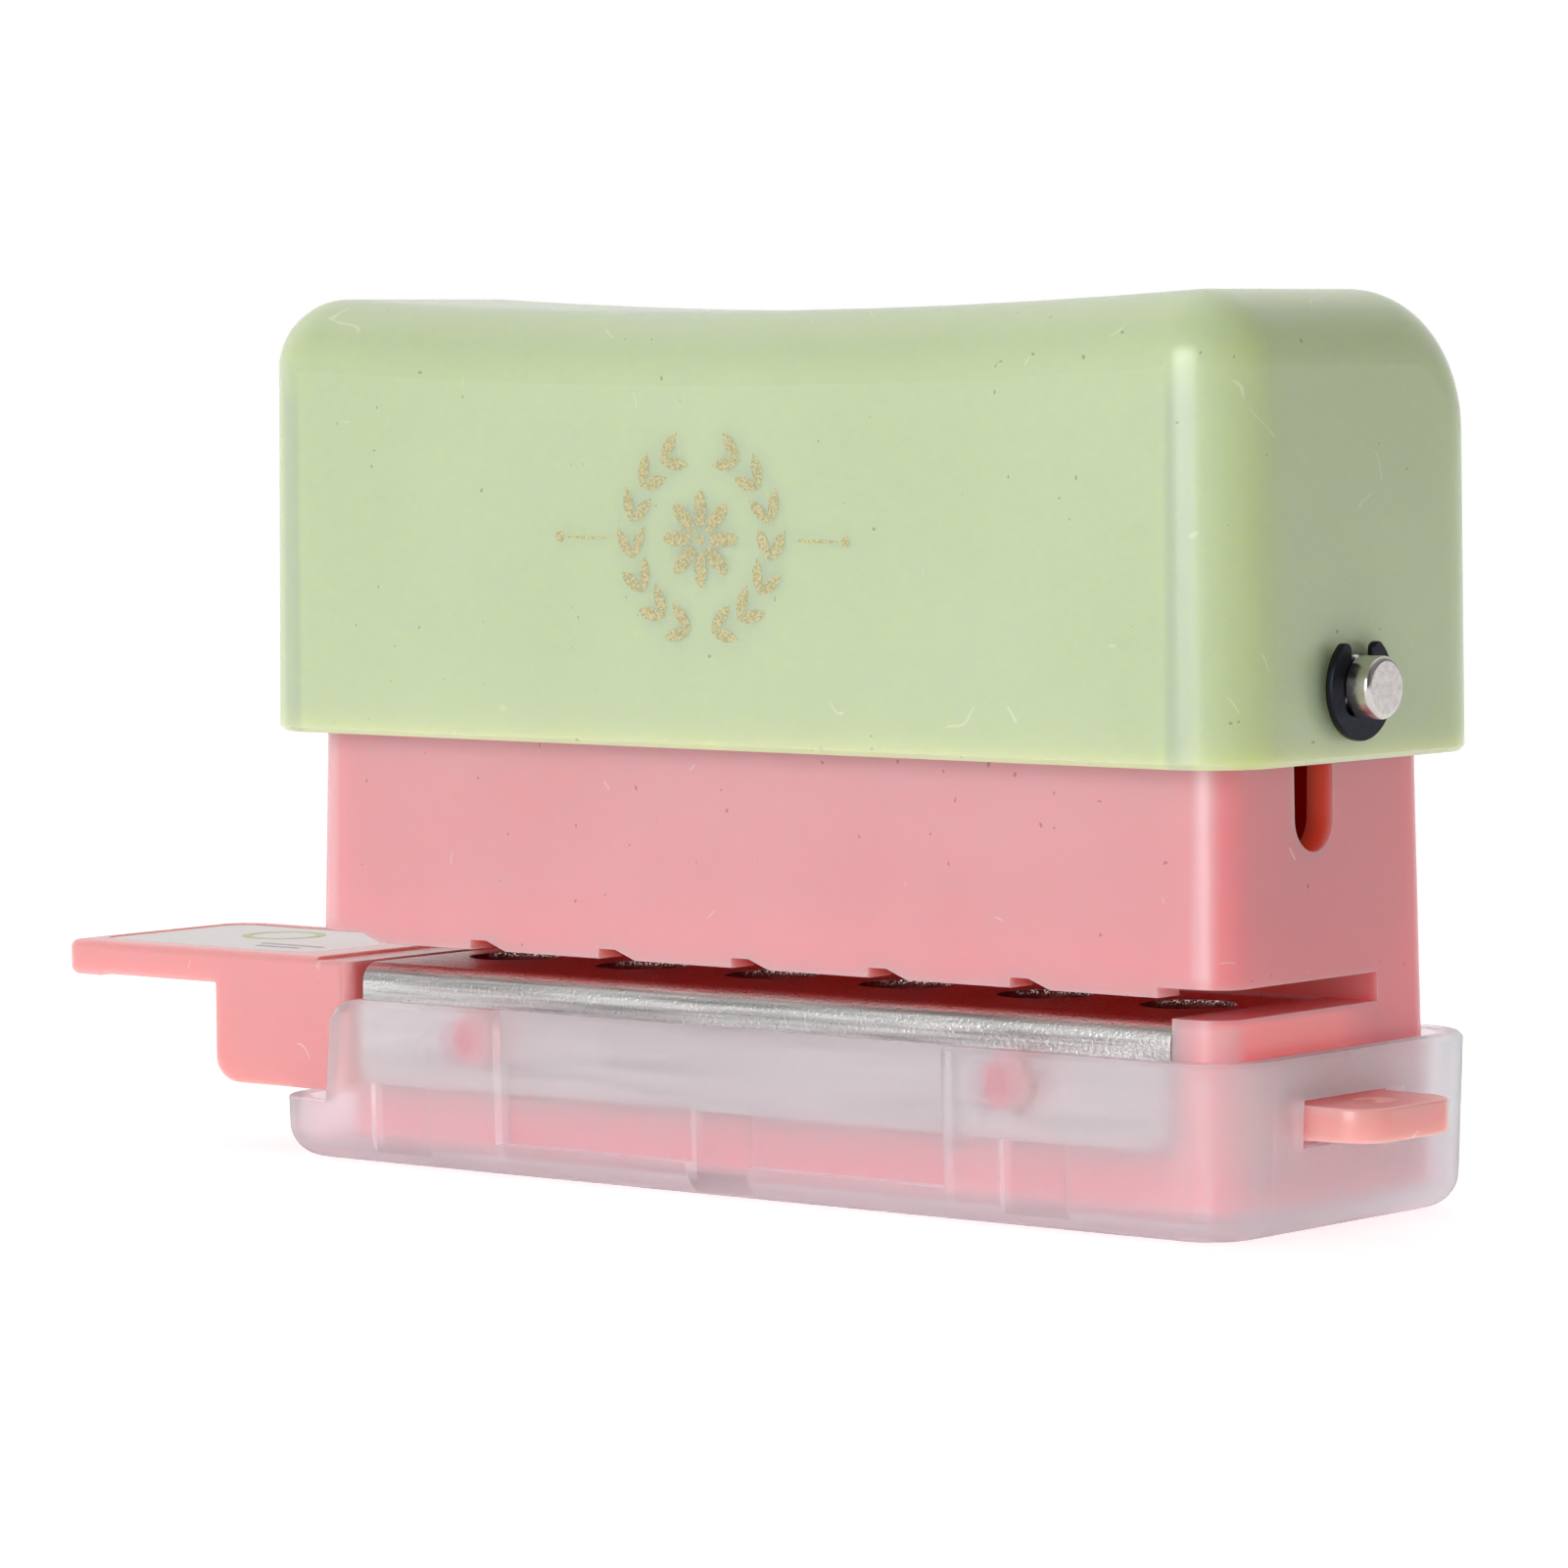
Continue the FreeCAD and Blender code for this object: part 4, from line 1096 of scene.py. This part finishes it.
def thicken(piece, way):
    """Gives a flat shape the thickness of its ink, along a way (mm)."""
    with editing(piece):
        bpy.ops.mesh.select_all(action="SELECT")
        bpy.ops.mesh.extrude_region_move(TRANSFORM_OT_translate={"value": Vector(way) * MM})
        bpy.ops.mesh.select_all(action="SELECT")
        bpy.ops.mesh.normals_make_consistent(inside=False)


leaf = flat_shape("leaf", 0.34, 0.74, 0.3)
petal = flat_shape("petal", 0.42, 1.0)
dot = flat_shape("dot", 0.3, 0.3)
rule = flat_shape("rule", 1.5, 0.08)
print("shapes:", [shape.name for shape in (leaf, petal, dot, rule)])

# %% [markdown]
# ## Gold ornament
# A wreath of leaves in pairs runs round a flower of eight petals, with a rule and a dot on each
# side. The print is a film thinner than paper that stands on the cover's flat front.

# %% Gold ornament
WREATH_RADIUS = 4.9
marks = []
for side in (-1, 1):
    for step in range(7):
        around = math.radians(-72 + 23 * step)
        for lean, out in ((0.5, 0.5), (-0.5, -0.5)):
            reach = WREATH_RADIUS + out
            marks.append(stamp(leaf, side * reach * math.cos(around), reach * math.sin(around),
                               side * (lean - around)))
    marks.append(stamp(rule, side * 8.1, 0.0))
    marks.append(stamp(dot, side * 10.0, 0.0))
for step in range(8):
    around = math.radians(45 * step)
    marks.append(stamp(petal, 1.6 * math.sin(around), 1.6 * math.cos(around), around))
marks.append(stamp(dot, 0.0, 0.0))
for shape in (leaf, petal, dot, rule):
    bpy.data.objects.remove(shape)
ornament = joined("gold_ornament", marks)
thicken(ornament, (0, -PRINT_FILM, 0))
install(ornament, print_gold, "cover_green", "cover")

# %% [markdown]
# ## Marks on the label
# The sticker in the guide's recess carries a ring in the colour of the cover and two grey bars,
# printed flat. The ring is a disc whose middle is inset and deleted, the bars are planes with
# rounded corners, and both get the thickness of their ink.

# %% Label marks
label_low, label_high = (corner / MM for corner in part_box("guide_label"))
MARK_FILM = 0.02

ring = start("label_ring", bpy.ops.mesh.primitive_circle_add, vertices=48, radius=2.5 * MM,
             fill_type="NGON", location=Vector((-43.5, 0.2, label_high.z)) * MM)
with editing(ring):
    bpy.ops.mesh.select_mode(type="FACE")
    bpy.ops.mesh.select_all(action="SELECT")
    bpy.ops.mesh.inset(thickness=0.55 * MM)
    bpy.ops.mesh.delete(type="FACE")
thicken(ring, (0, 0, MARK_FILM))
install(ring, ring_green, "label_white", "guide")

bars = []
for y, length in ((-4.2, 5.0), (-5.4, 3.4)):
    bar = start("bar", bpy.ops.mesh.primitive_plane_add, size=MM,
                location=Vector((-38.6, y, label_high.z)) * MM)
    with editing(bar):
        bpy.ops.mesh.select_all(action="SELECT")
        bpy.ops.transform.resize(value=(length, 0.45, 1))
        bpy.ops.mesh.bevel(offset=0.2 * MM, segments=4, affect="VERTICES")
    thicken(bar, (0, 0, MARK_FILM))
    bars.append(bar)
install(joined("label_bars", bars), bar_grey, "label_white", "guide")

# %% [markdown]
# ## Floor
# The punch stands on a white sheet that shows no horizon. A sheet lit only by the lamps would
# turn grey under the punch's own shade, so it is a little bright of its own.

# %% Floor


def pale_floor():
    bpy.ops.mesh.primitive_plane_add(size=24.0, location=(0, 0, -0.0002))
    floor = bpy.context.object
    floor.name = "pale_floor"
    finish = Finish("floor_paper")
    finish.set(Base_Color=colour(205, 205, 205), Roughness=0.9, Specular_IOR_Level=0.0,
               Emission_Color=(1.0, 1.0, 1.0, 1.0), Emission_Strength=0.68)
    floor.data.materials.append(finish.material)
    return floor


print("floor:", pale_floor().name)

# %% [markdown]
# ## Lights
# The sheet lies inside a white tent. The tent is dimmer on the right, which is why the end of the
# punch is darker than its front, and a tall soft box straight in front draws the sheen down the
# rounded upright edges. The tent is the world's own light, graded along each axis.

# %% Lights


def soft_box(name, place, width, height, power, target=(0.0, 0.0, 0.025)):
    data = bpy.data.lights.new(name, "AREA")
    data.shape = "RECTANGLE"
    data.size, data.size_y = width, height
    data.energy = power
    light = bpy.data.objects.new(name, data)
    bpy.context.scene.collection.objects.link(light)
    place = Vector(place)
    turn = (Vector(target) - place).to_track_quat("-Z", "Y")
    light.matrix_world = Matrix.Translation(place) @ turn.to_matrix().to_4x4()
    return light


def light_tent(back, front, right, zenith):
    """A surround that is dimmer towards the front and the right, and brightest overhead."""
    world = bpy.data.worlds.new("light_tent")
    bpy.context.scene.world = world
    world.use_nodes = True
    tent_nodes, links = world.node_tree.nodes, world.node_tree.links
    parts = tent_nodes.new("ShaderNodeSeparateXYZ")
    links.new(tent_nodes.new("ShaderNodeTexCoord").outputs["Generated"], parts.inputs[0])
    levels = []
    for axis, start_at, end_at, low, high in (("X", -0.4, 0.6, 1.0, right),
                                              ("Y", -0.5, 0.1, front, back),
                                              ("Z", 0.2, 0.9, 1.0, zenith)):
        ramp = tent_nodes.new("ShaderNodeMapRange")
        ramp.interpolation_type = "SMOOTHSTEP"
        for name, value in (("From Min", start_at), ("From Max", end_at), ("To Min", low),
                            ("To Max", high)):
            ramp.inputs[name].default_value = value
        links.new(parts.outputs[axis], ramp.inputs["Value"])
        levels.append(ramp.outputs["Result"])
    level = levels[0]
    for other in levels[1:]:
        product = tent_nodes.new("ShaderNodeMath")
        product.operation = "MULTIPLY"
        links.new(level, product.inputs[0])
        links.new(other, product.inputs[1])
        level = product.outputs["Value"]
    links.new(level, tent_nodes["Background"].inputs["Strength"])
    tent_nodes["Background"].inputs["Color"].default_value = (1.0, 1.0, 1.0, 1.0)
    return world


front_box = soft_box("front_box", (0.065, -0.9, 0.22), 0.52, 0.5, 4.75)
tent = light_tent(1.0, 0.35, 0.25, 1.33)
bpy.context.scene.view_settings.view_transform = "Standard"
print("lights:", front_box.name, tent.name)

# %% [markdown]
